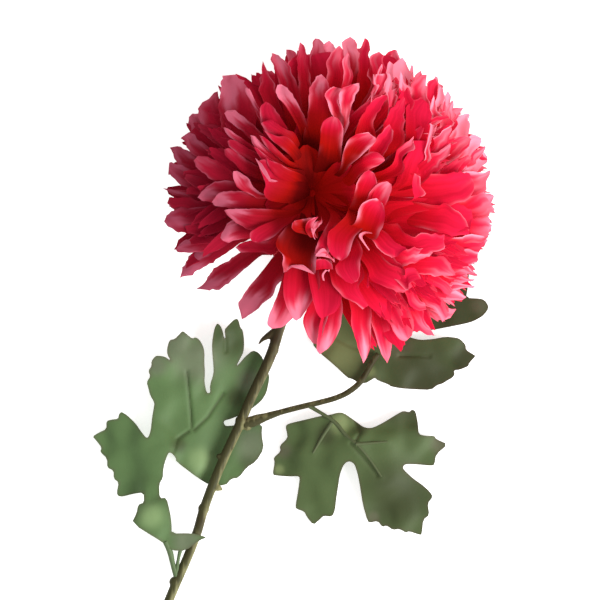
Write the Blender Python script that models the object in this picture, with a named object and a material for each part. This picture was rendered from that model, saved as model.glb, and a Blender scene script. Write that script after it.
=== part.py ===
"""Disbud chrysanthemum: one large bloom on a cut stem, with a side branch and four lobed leaves.

The flower lies on a surface at z = 0. +Z rises through the face of the bloom, +Y runs from the cut
end of the stem towards the bloom, and +X runs to the right across its face. Plan positions are kept
in pixels of a straight view of the flower and are turned to metres by the bloom's real width.
"""
import math
import random

import bmesh
import bpy
from mathutils import Matrix, Vector
from mathutils.geometry import delaunay_2d_cdt

MM = 0.001
WELD = 0.002 * MM

# Scale: the bloom's real width, and the same width and the middle of the footprint in the view
BLOOM_WIDTH = 140 * MM
BLOOM_WIDTH_PX = 325
PIXEL = BLOOM_WIDTH / BLOOM_WIDTH_PX
MIDDLE_PX = (293.1, 410.4)

# Bloom: receptacle core and the dome that the petal tips reach
BLOOM_AXIS_PX = (324, 205)
CORE_Z = 44 * MM
CORE_RADIUS = 27 * MM
CORE_HALF_HEIGHT = 24 * MM
DOME_RADIUS = 72 * MM
DOME_SHOULDER_Z = 60 * MM
DOME_RISE = 42 * MM
PETAL_THICKNESS = 0.8 * MM
PETAL_CUP = 0.34
PETAL_STATIONS = ((0.0, 0.50), (0.42, 0.92), (0.80, 0.86))
BASE_LIFT = math.radians(18)
BASE_DEPTH = 0.78
BASE_TURN = 0.25
STEEPEST_BASE = math.radians(84)
PETAL_ARCH = 0.5

# Petals of the bloom's face: tip x, tip y, a point that the petal comes from x, y, and its width
FACE_PETALS_PX = (
    (321, 77, 313, 148, 25), (332, 119, 325, 167, 23), (278, 86, 303, 158, 31), (267, 104, 297, 140, 26),
    (262, 123, 297, 152, 20), (251, 137, 295, 168, 15), (254, 150, 295, 174, 14), (256, 160, 279, 195, 20),
    (235, 172, 270, 200, 26), (199, 198, 245, 204, 24), (213, 206, 262, 205, 20), (226, 214, 288, 217, 28),
    (222, 236, 262, 228, 20), (238, 247, 276, 238, 16), (232, 77, 262, 130, 32), (246, 92, 268, 135, 20),
    (228, 113, 262, 150, 22), (229, 143, 262, 168, 18), (204, 160, 250, 190, 24), (358, 87, 345, 128, 17),
    (333, 89, 333, 130, 18), (368, 134, 338, 171, 26), (384, 159, 341, 177, 18), (395, 90, 350, 134, 26),
    (405, 98, 378, 150, 22), (392, 129, 360, 150, 20), (413, 139, 376, 160, 22), (416, 151, 380, 167, 18),
    (367, 171, 352, 196, 20), (387, 182, 365, 200, 20), (384, 214, 345, 210, 28), (418, 178, 376, 200, 36),
    (444, 180, 395, 200, 36), (445, 237, 395, 224, 34), (432, 256, 385, 240, 26), (394, 258, 362, 232, 24),
    (277, 247, 312, 224, 36), (302, 267, 313, 232, 26), (336, 259, 332, 215, 28), (313, 262, 322, 232, 14),
    (291, 320, 310, 270, 30), (315, 344, 317, 290, 24), (367, 308, 340, 262, 26), (408, 339, 372, 285, 26),
    (425, 311, 380, 262, 26), (453, 274, 408, 250, 26), (443, 252, 400, 240, 22), (373, 77, 360, 120, 20),
    (391, 80, 370, 125, 20), (430, 110, 390, 150, 26), (446, 131, 400, 162, 26), (457, 152, 405, 176, 26),
    (467, 172, 412, 188, 26), (470, 196, 420, 204, 28), (467, 217, 415, 214, 26), (297, 224, 312, 212, 12),
    (346, 205, 335, 206, 14), (302, 178, 314, 196, 16), (340, 180, 332, 196, 16),
)

# Petals of the bloom's edge, clockwise from the upper left: tip x, tip y and width
RIM_PETALS_PX = (
    (222, 82, 26), (243, 71, 26), (264, 64, 24), (287, 52, 24), (300, 44, 24), (315, 40, 22), (329, 42, 22),
    (350, 37, 24), (365, 38, 22), (377, 53, 22), (395, 51, 24), (412, 66, 22), (420, 73, 24), (436, 79, 22),
    (448, 94, 24), (461, 110, 22), (468, 114, 22), (481, 139, 24), (486, 158, 24), (490, 172, 22),
    (494, 197, 24), (495, 212, 22), (492, 224, 24), (485, 245, 24), (477, 262, 22), (476, 284, 24),
    (465, 301, 22), (451, 313, 22), (434, 335, 20), (398, 353, 20), (387, 362, 18), (362, 362, 16),
    (320, 353, 20), (268, 323, 22), (242, 318, 23), (197, 289, 23), (182, 277, 24), (178, 250, 24),
    (165, 222, 32), (169, 204, 22), (165, 191, 14), (170, 176, 22), (172, 165, 22), (173, 147, 24),
    (182, 139, 22), (188, 124, 24), (207, 99, 26),
)
RIM_LEVELS = (68 * MM, 53 * MM, 38 * MM)

# Shorter petals by rule between those of the face: number, reach, depth under the dome and width
FILL_COUNT = 19
FILL_REACH = (24 * MM, 58 * MM)
FILL_DROP = 13 * MM
FILL_WIDTH = 10.5 * MM
GOLDEN_ANGLE = 180 * (3 - math.sqrt(5))

# Lower layers by rule: level, reach, number of petals and width
LOWER_LAYERS = ((25 * MM, 66 * MM, 20, 10.5 * MM), (15 * MM, 57 * MM, 16, 10.5 * MM))
OPEN_SECTORS = ((197, 247),)
LEAF_SECTORS = ((282, 358),)
FOOT_AZIMUTHS = (8, 38, 68, 98, 128, 156, 186, 276, 304, 334)
FOOT_REACH = 43 * MM
FOOT_BEND = (33 * MM, -4.4 * MM)
FOOT_WIDTH = 11 * MM
FOOT_Z = 0.05 * MM
SEED = 7

# Calyx: a cup of green bracts under the core
SEAT_GAP = 0.3 * MM
CALYX_REACH = (15.0 * MM, 18.0 * MM)
CALYX_BRACTS = 12
CALYX_RINGS = 4
CALYX_WALL_MIDDLE = 5.4 * MM
CALYX_WALL_EDGE = 1.1 * MM
CALYX_NECK_RADIUS = 3.4 * MM

# Main stem: plan x, y in pixels, height and radius in millimetres, from the calyx to the cut end
STEM_PATH = (
    (324, 205, 14.1, 2.5), (323.8, 205.6, 12.2, 2.5), (320, 216, 9.3, 2.5), (311, 240, 8.6, 2.45),
    (297, 278, 8.3, 2.4), (279, 329, 8.0, 2.4), (272, 352, 7.8, 2.35), (250, 400, 7.2, 2.2),
    (238, 428, 7.0, 2.15), (223, 460, 6.7, 2.1), (203, 511, 6.2, 2.1), (196, 535, 6.0, 2.1),
    (169, 600, 5.2, 2.05), (147, 655, 4.2, 2.05), (128, 715, 3.0, 2.0), (113, 781, 2.02, 2.0),
)
STEM_SIDES = 10
STEM_STEPS = 3
STEM_CUT_TILT = math.radians(28)
SPUR_PATH = ((273, 338, 8.0, 1.9), (265, 337, 8.0, 1.5), (260, 340, 8.0, 0.9), (258, 345, 8.0, 0.35))
NODE_BULGES = (
    (276, 352, 7.8, 2.2), (216, 458, 6.9, 1.7), (222, 489, 6.4, 1.6), (201, 512, 6.1, 2.6),
    (172, 588, 5.4, 2.4), (240.6, 420, 7.1, 2.55),
)

# Side branch from the middle of the stem to the right leaves
BRANCH_PATH = (
    (249.8, 422.5, 7.2, 2.2), (256, 420.5, 7.3, 2.0), (266, 418, 7.5, 1.5), (280, 413, 7.8, 1.35),
    (303, 407, 8.2, 1.3), (320, 403, 8.3, 1.3), (340, 397, 8.3, 1.3), (351, 391, 8.2, 1.35),
    (361, 382, 8.0, 1.35), (372, 364, 8.0, 1.3), (379, 354, 8.0, 1.3),
)
BRANCH_SIDES = 8

LEAF_THICKNESS = 1.0 * MM
LEAF_SPACING_PX = 19
LEAF_EDGE_CLEARANCE = 0.45
ANCHOR_SOFTNESS_PX = 9
RIB_SIDES = 6

# Left leaf: lobed outline, then its curled base and the lobe that crosses over the stem
LEFT_LEAF_PX = (
    (143, 493), (120, 498), (118, 484), (112, 472), (106, 460), (99, 450), (91, 437), (105, 430),
    (117, 420), (127, 415), (135, 424), (146, 438), (150, 420), (153, 404), (149, 395), (146, 383),
    (150, 366), (155, 356), (165, 357), (170, 361), (166, 348), (174, 339), (182, 331), (200, 341),
    (204, 352), (204, 382), (206, 394), (209, 394), (213, 370), (211, 344), (216, 323), (224, 338),
    (229, 324), (236, 319), (243, 332), (243, 352), (237, 365), (250, 351), (260, 354), (269, 377),
    (261, 402), (251, 410), (225, 421), (225, 426), (262, 425), (264, 448), (254, 464), (238, 479),
    (225, 487), (208, 487), (195, 479), (175, 462), (168, 453), (162, 473), (158, 485), (159, 499),
    (166, 500), (170, 512), (171, 534), (191, 535), (207, 539), (198, 542), (190, 550), (170, 552),
    (164, 546), (130, 525), (137, 506),
)
LEFT_LEAF_HEIGHTS = (
    (250, 400, 3.0), (238, 428, 2.9), (223, 460, 2.8), (212, 484, 2.6), (262, 430, 2.8), (252, 462, 1.4),
    (236, 476, 2.0), (262, 375, 2.6), (256, 355, 3.2), (240, 345, 5.0), (236, 322, 7.0), (218, 330, 8.5),
    (228, 400, 3.4), (208, 392, 6.0), (195, 345, 12.0), (180, 335, 14.0), (190, 380, 9.0), (158, 360, 12.5),
    (155, 400, 9.0), (180, 425, 6.0), (150, 440, 9.5), (120, 430, 6.0), (98, 440, 3.0), (120, 470, 5.0),
    (125, 495, 3.5), (160, 455, 10.0), (190, 465, 6.0), (150, 495, 10.0), (155, 510, 12.0), (150, 530, 11.5),
    (172, 545, 9.6), (190, 543, 9.0), (207, 539, 8.8),
)
LEFT_LEAF_RIBS = (
    ((150, 497), (172, 470), (196, 436), (214, 400)), ((172, 470), (150, 452), (112, 444)),
    ((196, 436), (184, 395), (180, 350)), ((214, 400), (226, 368), (232, 338)),
    ((196, 436), (222, 447), (248, 452)),
)
LEFT_PETIOLE = ((160, 536, 10.6, 1.2), (167, 549, 9.6, 1.2), (169, 562, 7.6, 1.1), (166.4, 574, 5.9, 1.3))

# Lower right leaf, seen from its back
LOWER_LEAF_PX = (
    (320, 416), (289, 424), (287, 438), (279, 447), (273, 460), (273, 476), (299, 478), (295, 510),
    (304, 513), (313, 527), (323, 518), (334, 517), (337, 500), (340, 479), (345, 467), (355, 465),
    (362, 492), (363, 507), (369, 524), (383, 528), (400, 531), (422, 537), (424, 521), (430, 517),
    (429, 504), (434, 498), (423, 486), (405, 471), (406, 465), (435, 467), (438, 455), (449, 445),
    (437, 438), (420, 436), (419, 421), (413, 410), (400, 413), (374, 427), (362, 427), (344, 414),
)
LOWER_LEAF_HEIGHTS = (
    (318, 420, 6.5), (336, 424, 7.2), (357, 444, 9.0), (381, 476, 8.0), (405, 515, 4.0), (422, 534, 1.6),
    (430, 505, 3.0), (385, 520, 2.4), (312, 453, 6.0), (290, 436, 3.2), (276, 465, 1.2), (300, 500, 2.6),
    (313, 524, 1.4), (332, 500, 4.0), (345, 465, 8.0), (384, 443, 8.4), (415, 440, 5.2), (445, 446, 1.8),
    (415, 415, 2.6), (390, 422, 5.0), (350, 420, 6.0), (432, 462, 3.0),
)
LOWER_LEAF_RIBS = (
    ((331, 419), (344, 432), (357, 444), (369, 459), (381, 476), (396, 500)),
    ((331, 419), (321, 437), (312, 453), (306, 480)),
    ((357, 444), (384, 443), (414, 442)), ((369, 459), (357, 444)),
)
LOWER_PETIOLE = ((309.5, 411.6, 8.1, 0.9), (318, 413.5, 8.2, 0.9), (331, 420, 8.2, 0.9), (345, 433, 9.0, 0.9))

# Upper right leaf, whose upper end lies under the bloom
UPPER_LEAF_PX = (
    (358, 383), (348, 379), (322, 355), (312, 344), (316, 328), (335, 315), (358, 312), (385, 324),
    (402, 336), (419, 340), (448, 336), (459, 338), (467, 345), (477, 356), (470, 367), (456, 372),
    (450, 381), (438, 386), (421, 391), (395, 388), (384, 384), (366, 384),
)
UPPER_LEAF_HEIGHTS = (
    (351, 388, 5.2), (361, 382, 5.4), (372, 364, 5.5), (379, 354, 5.5), (388, 340, 5.8), (340, 360, 5.0),
    (318, 345, 3.6), (340, 320, 4.2), (375, 325, 5.2), (420, 345, 7.4), (448, 342, 7.6), (470, 358, 5.6),
    (448, 378, 3.4), (420, 388, 3.2), (400, 370, 5.6), (388, 384, 4.2),
)
UPPER_LEAF_RIBS = (((384, 352), (410, 358), (440, 358), (464, 356)), ((364, 352), (346, 344), (328, 334)))

# Leaf behind the bloom, joined to the end of the branch
BEHIND_LEAF_PX = (
    (376, 356), (388, 346), (408, 332), (432, 331), (461, 325), (476, 321), (486, 315), (490, 308),
    (486, 301), (480, 298), (466, 297), (470, 288), (471, 262), (462, 250), (448, 252), (440, 266),
    (434, 286), (412, 303), (390, 324), (370, 350),
)
BEHIND_LEAF_HEIGHTS = (
    (373, 355, 3.9), (380, 348, 3.9), (392, 335, 3.7), (410, 320, 3.6), (435, 310, 4.6), (462, 312, 6.4),
    (488, 308, 7.4),
    (452, 285, 6.4), (470, 275, 8.0), (460, 253, 7.6),
)
BEHIND_LEAF_RIBS = (((382, 346), (410, 318), (440, 311), (474, 309)), ((437, 313), (453, 286), (462, 262)))
RIB_RISE = 0.35 * MM
RIB_RADIUS = 0.75 * MM
RIB_TAPER = 0.55
RIB_STEPS = 2

RED_PETAL = (0.46, 0.008, 0.022)
BRACT_GREEN = (0.12, 0.17, 0.05)
STEM_OLIVE = (0.17, 0.16, 0.07)
BRANCH_OLIVE = (0.19, 0.16, 0.07)
LEAF_GREEN = (0.13, 0.20, 0.08)
LEAF_DARK = (0.09, 0.11, 0.035)


def clear_scene():
    """Removes every object, so that the file holds the flower alone."""
    for thing in list(bpy.data.objects):
        bpy.data.objects.remove(thing, do_unlink=True)


def matt_material(name, colour, roughness):
    """One plain surface with the part's colour."""
    material = bpy.data.materials.new(name)
    material.use_nodes = True
    shader = material.node_tree.nodes["Principled BSDF"]
    shader.inputs["Base Color"].default_value = (*colour, 1.0)
    shader.inputs["Roughness"].default_value = roughness
    shader.inputs["Metallic"].default_value = 0.0
    return material


def place(x_px, y_px, z=0.0):
    """The point in metres over a pixel of the straight view."""
    return Vector(((x_px - MIDDLE_PX[0]) * PIXEL, (MIDDLE_PX[1] - y_px) * PIXEL, z))


BLOOM_AXIS = place(*BLOOM_AXIS_PX)
CORE_CENTRE = BLOOM_AXIS + Vector((0, 0, CORE_Z))


def add_object(name, mesh, material, collection=None):
    """Puts a mesh in the scene as one named object with one material."""
    thing = bpy.data.objects.new(name, mesh)
    mesh.materials.clear()
    mesh.materials.append(material)
    (collection or bpy.context.scene.collection).objects.link(thing)
    return thing


def smooth_path(points, steps):
    """Samples a Catmull-Rom curve through points, each a tuple of numbers."""
    rows = [points[0], *points, points[-1]]
    path = []
    for index in range(1, len(rows) - 2):
        before, start, end, after = rows[index - 1:index + 3]
        for step in range(steps):
            t = step / steps
            path.append(tuple(
                b + 0.5 * t * (c - a + t * (2 * a - 5 * b + 4 * c - d + t * (3 * b - a - 3 * c + d)))
                for a, b, c, d in zip(before, start, end, after)))
    path.append(points[-1])
    return path


def tube_mesh(name, path, sides, end_tilt=0.0):
    """A closed tube along rows of plan pixel x, y, height and radius in millimetres."""
    centres = [place(row[0], row[1], row[2] * MM) for row in path]
    radii = [row[3] * MM for row in path]
    mesh = bmesh.new()
    rings = []
    side = Vector((1, 0, 0))
    for index, centre in enumerate(centres):
        ahead = centres[min(index + 1, len(centres) - 1)] - centres[max(index - 1, 0)]
        forward = ahead.normalized()
        side = (side - forward * side.dot(forward)).normalized()
        rise = forward.cross(side)
        slant = math.tan(end_tilt) if index == len(centres) - 1 else 0.0
        ring = []
        for turn in range(sides):
            angle = 2 * math.pi * turn / sides
            offset = side * math.cos(angle) + rise * math.sin(angle)
            along = forward * slant * math.cos(angle) * radii[index]
            ring.append(mesh.verts.new(centre + offset * radii[index] + along))
        rings.append(ring)
    for lower, upper in zip(rings, rings[1:]):
        for turn in range(sides):
            following = (turn + 1) % sides
            mesh.faces.new((lower[turn], lower[following], upper[following], upper[turn]))
    mesh.faces.new(list(reversed(rings[0])))
    mesh.faces.new(rings[-1])
    result = bpy.data.meshes.new(name)
    mesh.to_mesh(result)
    mesh.free()
    return result


def sheet_mesh(name, upper, lower, triangles):
    """A closed thin solid: two skins with the same triangles, and a wall round their border."""
    count = len(upper)
    faces = []
    edges = {}
    for a, b, c in triangles:
        faces.append((a, b, c))
        faces.append((a + count, c + count, b + count))
        for edge in ((a, b), (b, c), (c, a)):
            edges[edge] = True
    for a, b in edges:
        if (b, a) not in edges:
            faces.append((b, a, a + count))
            faces.append((b, a + count, b + count))
    result = bpy.data.meshes.new(name)
    result.from_pydata([tuple(point) for point in [*upper, *lower]], [], faces)
    return result


def keep_outer_skin(thing):
    """Drops loose scraps and sealed hollows, and keeps the widest shell."""
    mesh = bmesh.new()
    mesh.from_mesh(thing.data)
    bmesh.ops.remove_doubles(mesh, verts=mesh.verts, dist=WELD)
    bmesh.ops.dissolve_degenerate(mesh, edges=mesh.edges, dist=WELD)
    bmesh.ops.triangulate(mesh, faces=mesh.faces)
    unseen = set(mesh.verts)
    shells = []
    while unseen:
        shell = {unseen.pop()}
        front = list(shell)
        while front:
            for edge in front.pop().link_edges:
                for vertex in edge.verts:
                    if vertex not in shell:
                        shell.add(vertex)
                        front.append(vertex)
        unseen -= shell
        shells.append(shell)
    widest = max(shells, key=shell_span)
    loose = [vertex for shell in shells if shell is not widest for vertex in shell]
    bmesh.ops.delete(mesh, geom=loose, context="VERTS")
    mesh.to_mesh(thing.data)
    mesh.free()


def shell_span(shell):
    """The length of a shell along X plus Y."""
    xs = [vertex.co.x for vertex in shell]
    ys = [vertex.co.y for vertex in shell]
    return max(xs) - min(xs) + max(ys) - min(ys)


def apply_modifiers(thing):
    """Makes an object's modifiers part of its mesh."""
    evaluated = thing.evaluated_get(bpy.context.evaluated_depsgraph_get())
    shaped = bpy.data.meshes.new_from_object(evaluated)
    thing.modifiers.clear()
    thing.data = shaped


def fuse(core, group, solver):
    """Joins every object of a collection to the core with one union, and removes the collection."""
    union = core.modifiers.new("Union", "BOOLEAN")
    union.operation = "UNION"
    union.operand_type = "COLLECTION"
    union.collection = group
    union.solver = solver
    apply_modifiers(core)
    for thing in list(group.objects):
        bpy.data.objects.remove(thing, do_unlink=True)
    bpy.data.collections.remove(group)
    keep_outer_skin(core)


def new_group(name):
    """A collection for the pieces that are about to be fused."""
    group = bpy.data.collections.new(name)
    bpy.context.scene.collection.children.link(group)
    return group


def petal_mesh(name, base, control, tip, width):
    """One cupped blade along a bent line, as two skins of three points a station and one at the tip."""
    side = Vector((base.y - tip.y, tip.x - base.x, 0)).normalized()
    upper = []
    lower = []
    for share, breadth in (*PETAL_STATIONS, (1.0, 0.0)):
        point = base * (1 - share) ** 2 + control * 2 * share * (1 - share) + tip * share ** 2
        along = ((control - base) * (1 - share) + (tip - control) * share).normalized()
        inward = along.cross(side).normalized()
        across = along.cross(inward)
        columns = (-1, 0, 1) if breadth else (0,)
        for column in columns:
            half = breadth * width / 2
            middle = point + across * column * half + inward * PETAL_CUP * half * abs(column)
            upper.append(middle + inward * PETAL_THICKNESS / 2)
            lower.append(middle - inward * PETAL_THICKNESS / 2)
    triangles = []
    rows = len(PETAL_STATIONS)
    for row in range(rows - 1):
        for column in range(2):
            corner = row * 3 + column
            beyond = corner + 3
            if column:
                triangles += [(corner, corner + 1, beyond), (corner + 1, beyond + 1, beyond)]
            else:
                triangles += [(corner, corner + 1, beyond + 1), (corner, beyond + 1, beyond)]
    last = (rows - 1) * 3
    triangles += [(last, last + 1, last + 3), (last + 1, last + 2, last + 3)]
    return sheet_mesh(name, upper, lower, triangles)


def core_point(azimuth, elevation, depth=1.0):
    """A point of the core ellipsoid, or the same share of the way out to it."""
    flat = math.cos(elevation) * CORE_RADIUS * depth
    rise = math.sin(elevation) * CORE_HALF_HEIGHT * depth
    return CORE_CENTRE + Vector((math.cos(azimuth) * flat, math.sin(azimuth) * flat, rise))


def petal_line(tip, origin):
    """Base and control point of the petal that ends at a tip and seems to come from an origin."""
    heading = Vector((origin.x - tip.x, origin.y - tip.y)).normalized()
    to_axis = Vector((BLOOM_AXIS.x - tip.x, BLOOM_AXIS.y - tip.y))
    nearest = heading * to_axis.dot(heading) - to_axis
    root = nearest * (1 - BASE_TURN) - to_axis * BASE_TURN
    azimuth = math.atan2(root.y, root.x)
    elevation = math.atan2(tip.z - CORE_Z, to_axis.length)
    lifted = min(elevation + BASE_LIFT, STEEPEST_BASE)
    base = core_point(azimuth, lifted, BASE_DEPTH)
    away = (core_point(azimuth, lifted) - CORE_CENTRE).normalized()
    control = base + away * (tip - base).length * PETAL_ARCH
    return base, control


def dome_height(tip):
    """Height of the bloom's face over a plan point."""
    reach = math.hypot(tip.x - BLOOM_AXIS.x, tip.y - BLOOM_AXIS.y)
    return DOME_SHOULDER_Z + DOME_RISE * math.sqrt(max(0.0, 1 - (reach / DOME_RADIUS) ** 2))


def within(angle, sectors):
    """Whether an azimuth in degrees lies in one of the sectors."""
    return any(low <= angle % 360 <= high for low, high in sectors)


def around(azimuth, reach, z):
    """A point round the bloom's axis."""
    angle = math.radians(azimuth)
    return BLOOM_AXIS + Vector((math.cos(angle) * reach, math.sin(angle) * reach, z))


def petal_plan():
    """Base, control point, tip and width of every petal, from the face outwards to the foot."""
    chance = random.Random(SEED)
    rows = []
    feet = []
    for tip_x, tip_y, from_x, from_y, width in FACE_PETALS_PX:
        tip = place(tip_x, tip_y)
        tip.z = dome_height(tip)
        rows.append((tip, place(from_x, from_y), width * PIXEL))
    for index, (tip_x, tip_y, width) in enumerate(RIM_PETALS_PX):
        tip = place(tip_x, tip_y, RIM_LEVELS[index % len(RIM_LEVELS)])
        rows.append((tip, BLOOM_AXIS, width * PIXEL))
    for index in range(FILL_COUNT):
        azimuth = index * GOLDEN_ANGLE
        reach = FILL_REACH[0] + (FILL_REACH[1] - FILL_REACH[0]) * math.sqrt(index / FILL_COUNT)
        tip = around(azimuth, reach, 0)
        tip.z = dome_height(tip) - FILL_DROP
        if not within(azimuth, OPEN_SECTORS):
            rows.append((tip, BLOOM_AXIS, FILL_WIDTH))
    for z, reach, count, width in LOWER_LAYERS:
        for index in range(count):
            azimuth = 360 * (index + chance.uniform(-0.2, 0.2)) / count
            if not within(azimuth, OPEN_SECTORS) and not (z < 20 * MM and within(azimuth, LEAF_SECTORS)):
                rows.append((around(azimuth, reach * chance.uniform(0.96, 1.0), z), BLOOM_AXIS, width))
    for azimuth in FOOT_AZIMUTHS:
        tip = around(azimuth, FOOT_REACH, FOOT_Z)
        base, _ = petal_line(tip, BLOOM_AXIS)
        feet.append((base, around(azimuth, *FOOT_BEND), tip, FOOT_WIDTH))
    return [(*petal_line(tip, origin), tip, width) for tip, origin, width in rows] + feet


def flatten_foot(thing):
    """Cuts the foot petals level with the surface, which gives them flat spots to rest on."""
    slab = bmesh.new()
    half = BLOOM_WIDTH
    spot = BLOOM_AXIS - Vector((0, 0, half))
    bmesh.ops.create_cube(slab, size=2 * half, matrix=Matrix.Translation(spot))
    mesh = bpy.data.meshes.new("surface")
    slab.to_mesh(mesh)
    slab.free()
    surface = add_object("surface", mesh, thing.data.materials[0])
    cut = thing.modifiers.new("Level", "BOOLEAN")
    cut.operation = "DIFFERENCE"
    cut.object = surface
    cut.solver = "EXACT"
    apply_modifiers(thing)
    bpy.data.objects.remove(surface, do_unlink=True)
    keep_outer_skin(thing)


def make_bloom():
    """The core with its petals sunk into it, joined as one body."""
    red = matt_material("petal_red", RED_PETAL, 0.6)
    ball = bmesh.new()
    bmesh.ops.create_icosphere(ball, subdivisions=2, radius=1.0)
    shape = Matrix.Diagonal((CORE_RADIUS, CORE_RADIUS, CORE_HALF_HEIGHT, 1.0))
    bmesh.ops.transform(ball, matrix=Matrix.Translation(CORE_CENTRE) @ shape, verts=ball.verts)
    mesh = bpy.data.meshes.new("bloom")
    ball.to_mesh(mesh)
    ball.free()
    bloom = add_object("bloom", mesh, red)
    group = new_group("petals")
    for index, blade in enumerate(petal_plan()):
        name = f"petal_{index}"
        add_object(name, petal_mesh(name, *blade), red, group)
    fuse(bloom, group, "EXACT")
    flatten_foot(bloom)
    return bloom


def make_calyx():
    """A cup that follows the underside of the core, with a pointed rim of bracts and a short neck."""
    green = matt_material("bract_green", BRACT_GREEN, 0.7)
    mesh = bmesh.new()
    turns = CALYX_BRACTS * 2
    inner = []
    outer = []
    for ring in range(1, CALYX_RINGS + 1):
        share = ring / CALYX_RINGS
        inside = []
        outside = []
        for turn in range(turns):
            angle = 2 * math.pi * turn / turns
            reach = share * CALYX_REACH[turn % 2]
            dip = math.sqrt(1 - (reach / (CORE_RADIUS + SEAT_GAP)) ** 2) * (CORE_HALF_HEIGHT + SEAT_GAP)
            wall = CALYX_WALL_EDGE + (CALYX_WALL_MIDDLE - CALYX_WALL_EDGE) * (1 - share) ** 1.5
            heading = Vector((math.cos(angle), math.sin(angle), 0)) * reach
            inside.append(mesh.verts.new(CORE_CENTRE + heading - Vector((0, 0, dip))))
            outside.append(mesh.verts.new(CORE_CENTRE + heading - Vector((0, 0, dip + wall))))
        inner.append(inside)
        outer.append(outside)
    neck_z = CORE_Z - CORE_HALF_HEIGHT - CALYX_WALL_MIDDLE
    neck = []
    for turn in range(turns):
        angle = 2 * math.pi * turn / turns
        heading = Vector((math.cos(angle), math.sin(angle), 0)) * CALYX_NECK_RADIUS
        neck.append(mesh.verts.new(BLOOM_AXIS + heading + Vector((0, 0, neck_z))))
    for turn in range(turns):
        following = (turn + 1) % turns
        for low, high in zip(inner, inner[1:]):
            mesh.faces.new((low[turn], high[turn], high[following], low[following]))
        for low, high in zip(outer, outer[1:]):
            mesh.faces.new((low[following], high[following], high[turn], low[turn]))
        mesh.faces.new((neck[following], outer[0][following], outer[0][turn], neck[turn]))
        mesh.faces.new((inner[-1][turn], outer[-1][turn], outer[-1][following], inner[-1][following]))
    mesh.faces.new(inner[0])
    mesh.faces.new(list(reversed(neck)))
    result = bpy.data.meshes.new("calyx")
    mesh.to_mesh(result)
    mesh.free()
    return add_object("calyx", result, green)


def bulge_mesh(name, x_px, y_px, z, radius):
    """A low knot on a stem."""
    ball = bmesh.new()
    spot = Matrix.Translation(place(x_px, y_px, z * MM))
    bmesh.ops.create_icosphere(ball, subdivisions=2, radius=radius * MM, matrix=spot)
    result = bpy.data.meshes.new(name)
    ball.to_mesh(result)
    ball.free()
    return result


def make_stem():
    """The main stem with its spur and knots."""
    olive = matt_material("stem_olive", STEM_OLIVE, 0.55)
    path = smooth_path(STEM_PATH, STEM_STEPS)
    stem = add_object("stem", tube_mesh("stem", path, STEM_SIDES, STEM_CUT_TILT), olive)
    group = new_group("stem_details")
    add_object("spur", tube_mesh("spur", smooth_path(SPUR_PATH, RIB_STEPS), RIB_SIDES), olive, group)
    for index, bulge in enumerate(NODE_BULGES):
        add_object(f"knot_{index}", bulge_mesh(f"knot_{index}", *bulge), olive, group)
    fuse(stem, group, "EXACT")
    return stem


def make_branch():
    """The thin side branch, flared where it meets the stem."""
    olive = matt_material("branch_olive", BRANCH_OLIVE, 0.55)
    mesh = tube_mesh("side_branch", smooth_path(BRANCH_PATH, RIB_STEPS), BRANCH_SIDES)
    return add_object("side_branch", mesh, olive)


def leaf_height(x_px, y_px, anchors):
    """Height of a leaf in metres: a soft mean of the heights given at its anchors."""
    total = 0.0
    weights = 0.0
    for anchor_x, anchor_y, z in anchors:
        gap = (anchor_x - x_px) ** 2 + (anchor_y - y_px) ** 2 + ANCHOR_SOFTNESS_PX ** 2
        total += z / gap ** 2
        weights += 1 / gap ** 2
    return total / weights * MM


def inside(x, y, outline):
    """Whether a point lies inside a closed outline."""
    hit = False
    for (ax, ay), (bx, by) in zip(outline, [*outline[1:], outline[0]]):
        if (ay > y) != (by > y) and x < (bx - ax) * (y - ay) / (by - ay) + ax:
            hit = not hit
    return hit


def edge_distance(x, y, outline):
    """Distance from a point to a closed outline."""
    point = Vector((x, y))
    best = math.inf
    for start, end in zip(outline, [*outline[1:], outline[0]]):
        start = Vector(start)
        run = Vector(end) - start
        share = max(0.0, min(1.0, (point - start).dot(run) / run.length_squared))
        best = min(best, (point - start - run * share).length)
    return best


def leaf_mesh(name, outline, anchors):
    """A lobed blade cut to its outline, waved by its anchor heights and split alike on both faces."""
    points = [Vector(corner) for corner in outline]
    border = len(points)
    left = min(corner[0] for corner in outline)
    right = max(corner[0] for corner in outline)
    top = min(corner[1] for corner in outline)
    bottom = max(corner[1] for corner in outline)
    row = 0
    y = top + LEAF_SPACING_PX / 2
    while y < bottom:
        x = left + LEAF_SPACING_PX / 2 * (1 + row % 2)
        while x < right:
            clear = edge_distance(x, y, outline) > LEAF_EDGE_CLEARANCE * LEAF_SPACING_PX
            if clear and inside(x, y, outline):
                points.append(Vector((x, y)))
            x += LEAF_SPACING_PX
        y += LEAF_SPACING_PX * math.sqrt(3) / 2
        row += 1
    rim = [(index, (index + 1) % border) for index in range(border)]
    flat, _, cells, _, _, _ = delaunay_2d_cdt(points, rim, [], 1, 1e-4)
    triangles = []
    for a, b, c in cells:
        turn = (flat[b] - flat[a]).cross(flat[c] - flat[a])
        triangles.append((a, c, b) if turn > 0 else (a, b, c))
    middle = [place(spot.x, spot.y, leaf_height(spot.x, spot.y, anchors)) for spot in flat]
    half = Vector((0, 0, LEAF_THICKNESS / 2))
    return sheet_mesh(name, [spot + half for spot in middle], [spot - half for spot in middle], triangles)


def rib_path(rib, anchors):
    """A rib as rows for a tube that lies half sunk in the top of its leaf."""
    rows = []
    for share, (x, y) in enumerate(smooth_path(rib, RIB_STEPS)):
        rise = leaf_height(x, y, anchors) + RIB_RISE
        taper = RIB_RADIUS * (1 - RIB_TAPER * share / (RIB_STEPS * (len(rib) - 1)))
        rows.append((x, y, rise / MM, taper / MM))
    return rows


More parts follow.
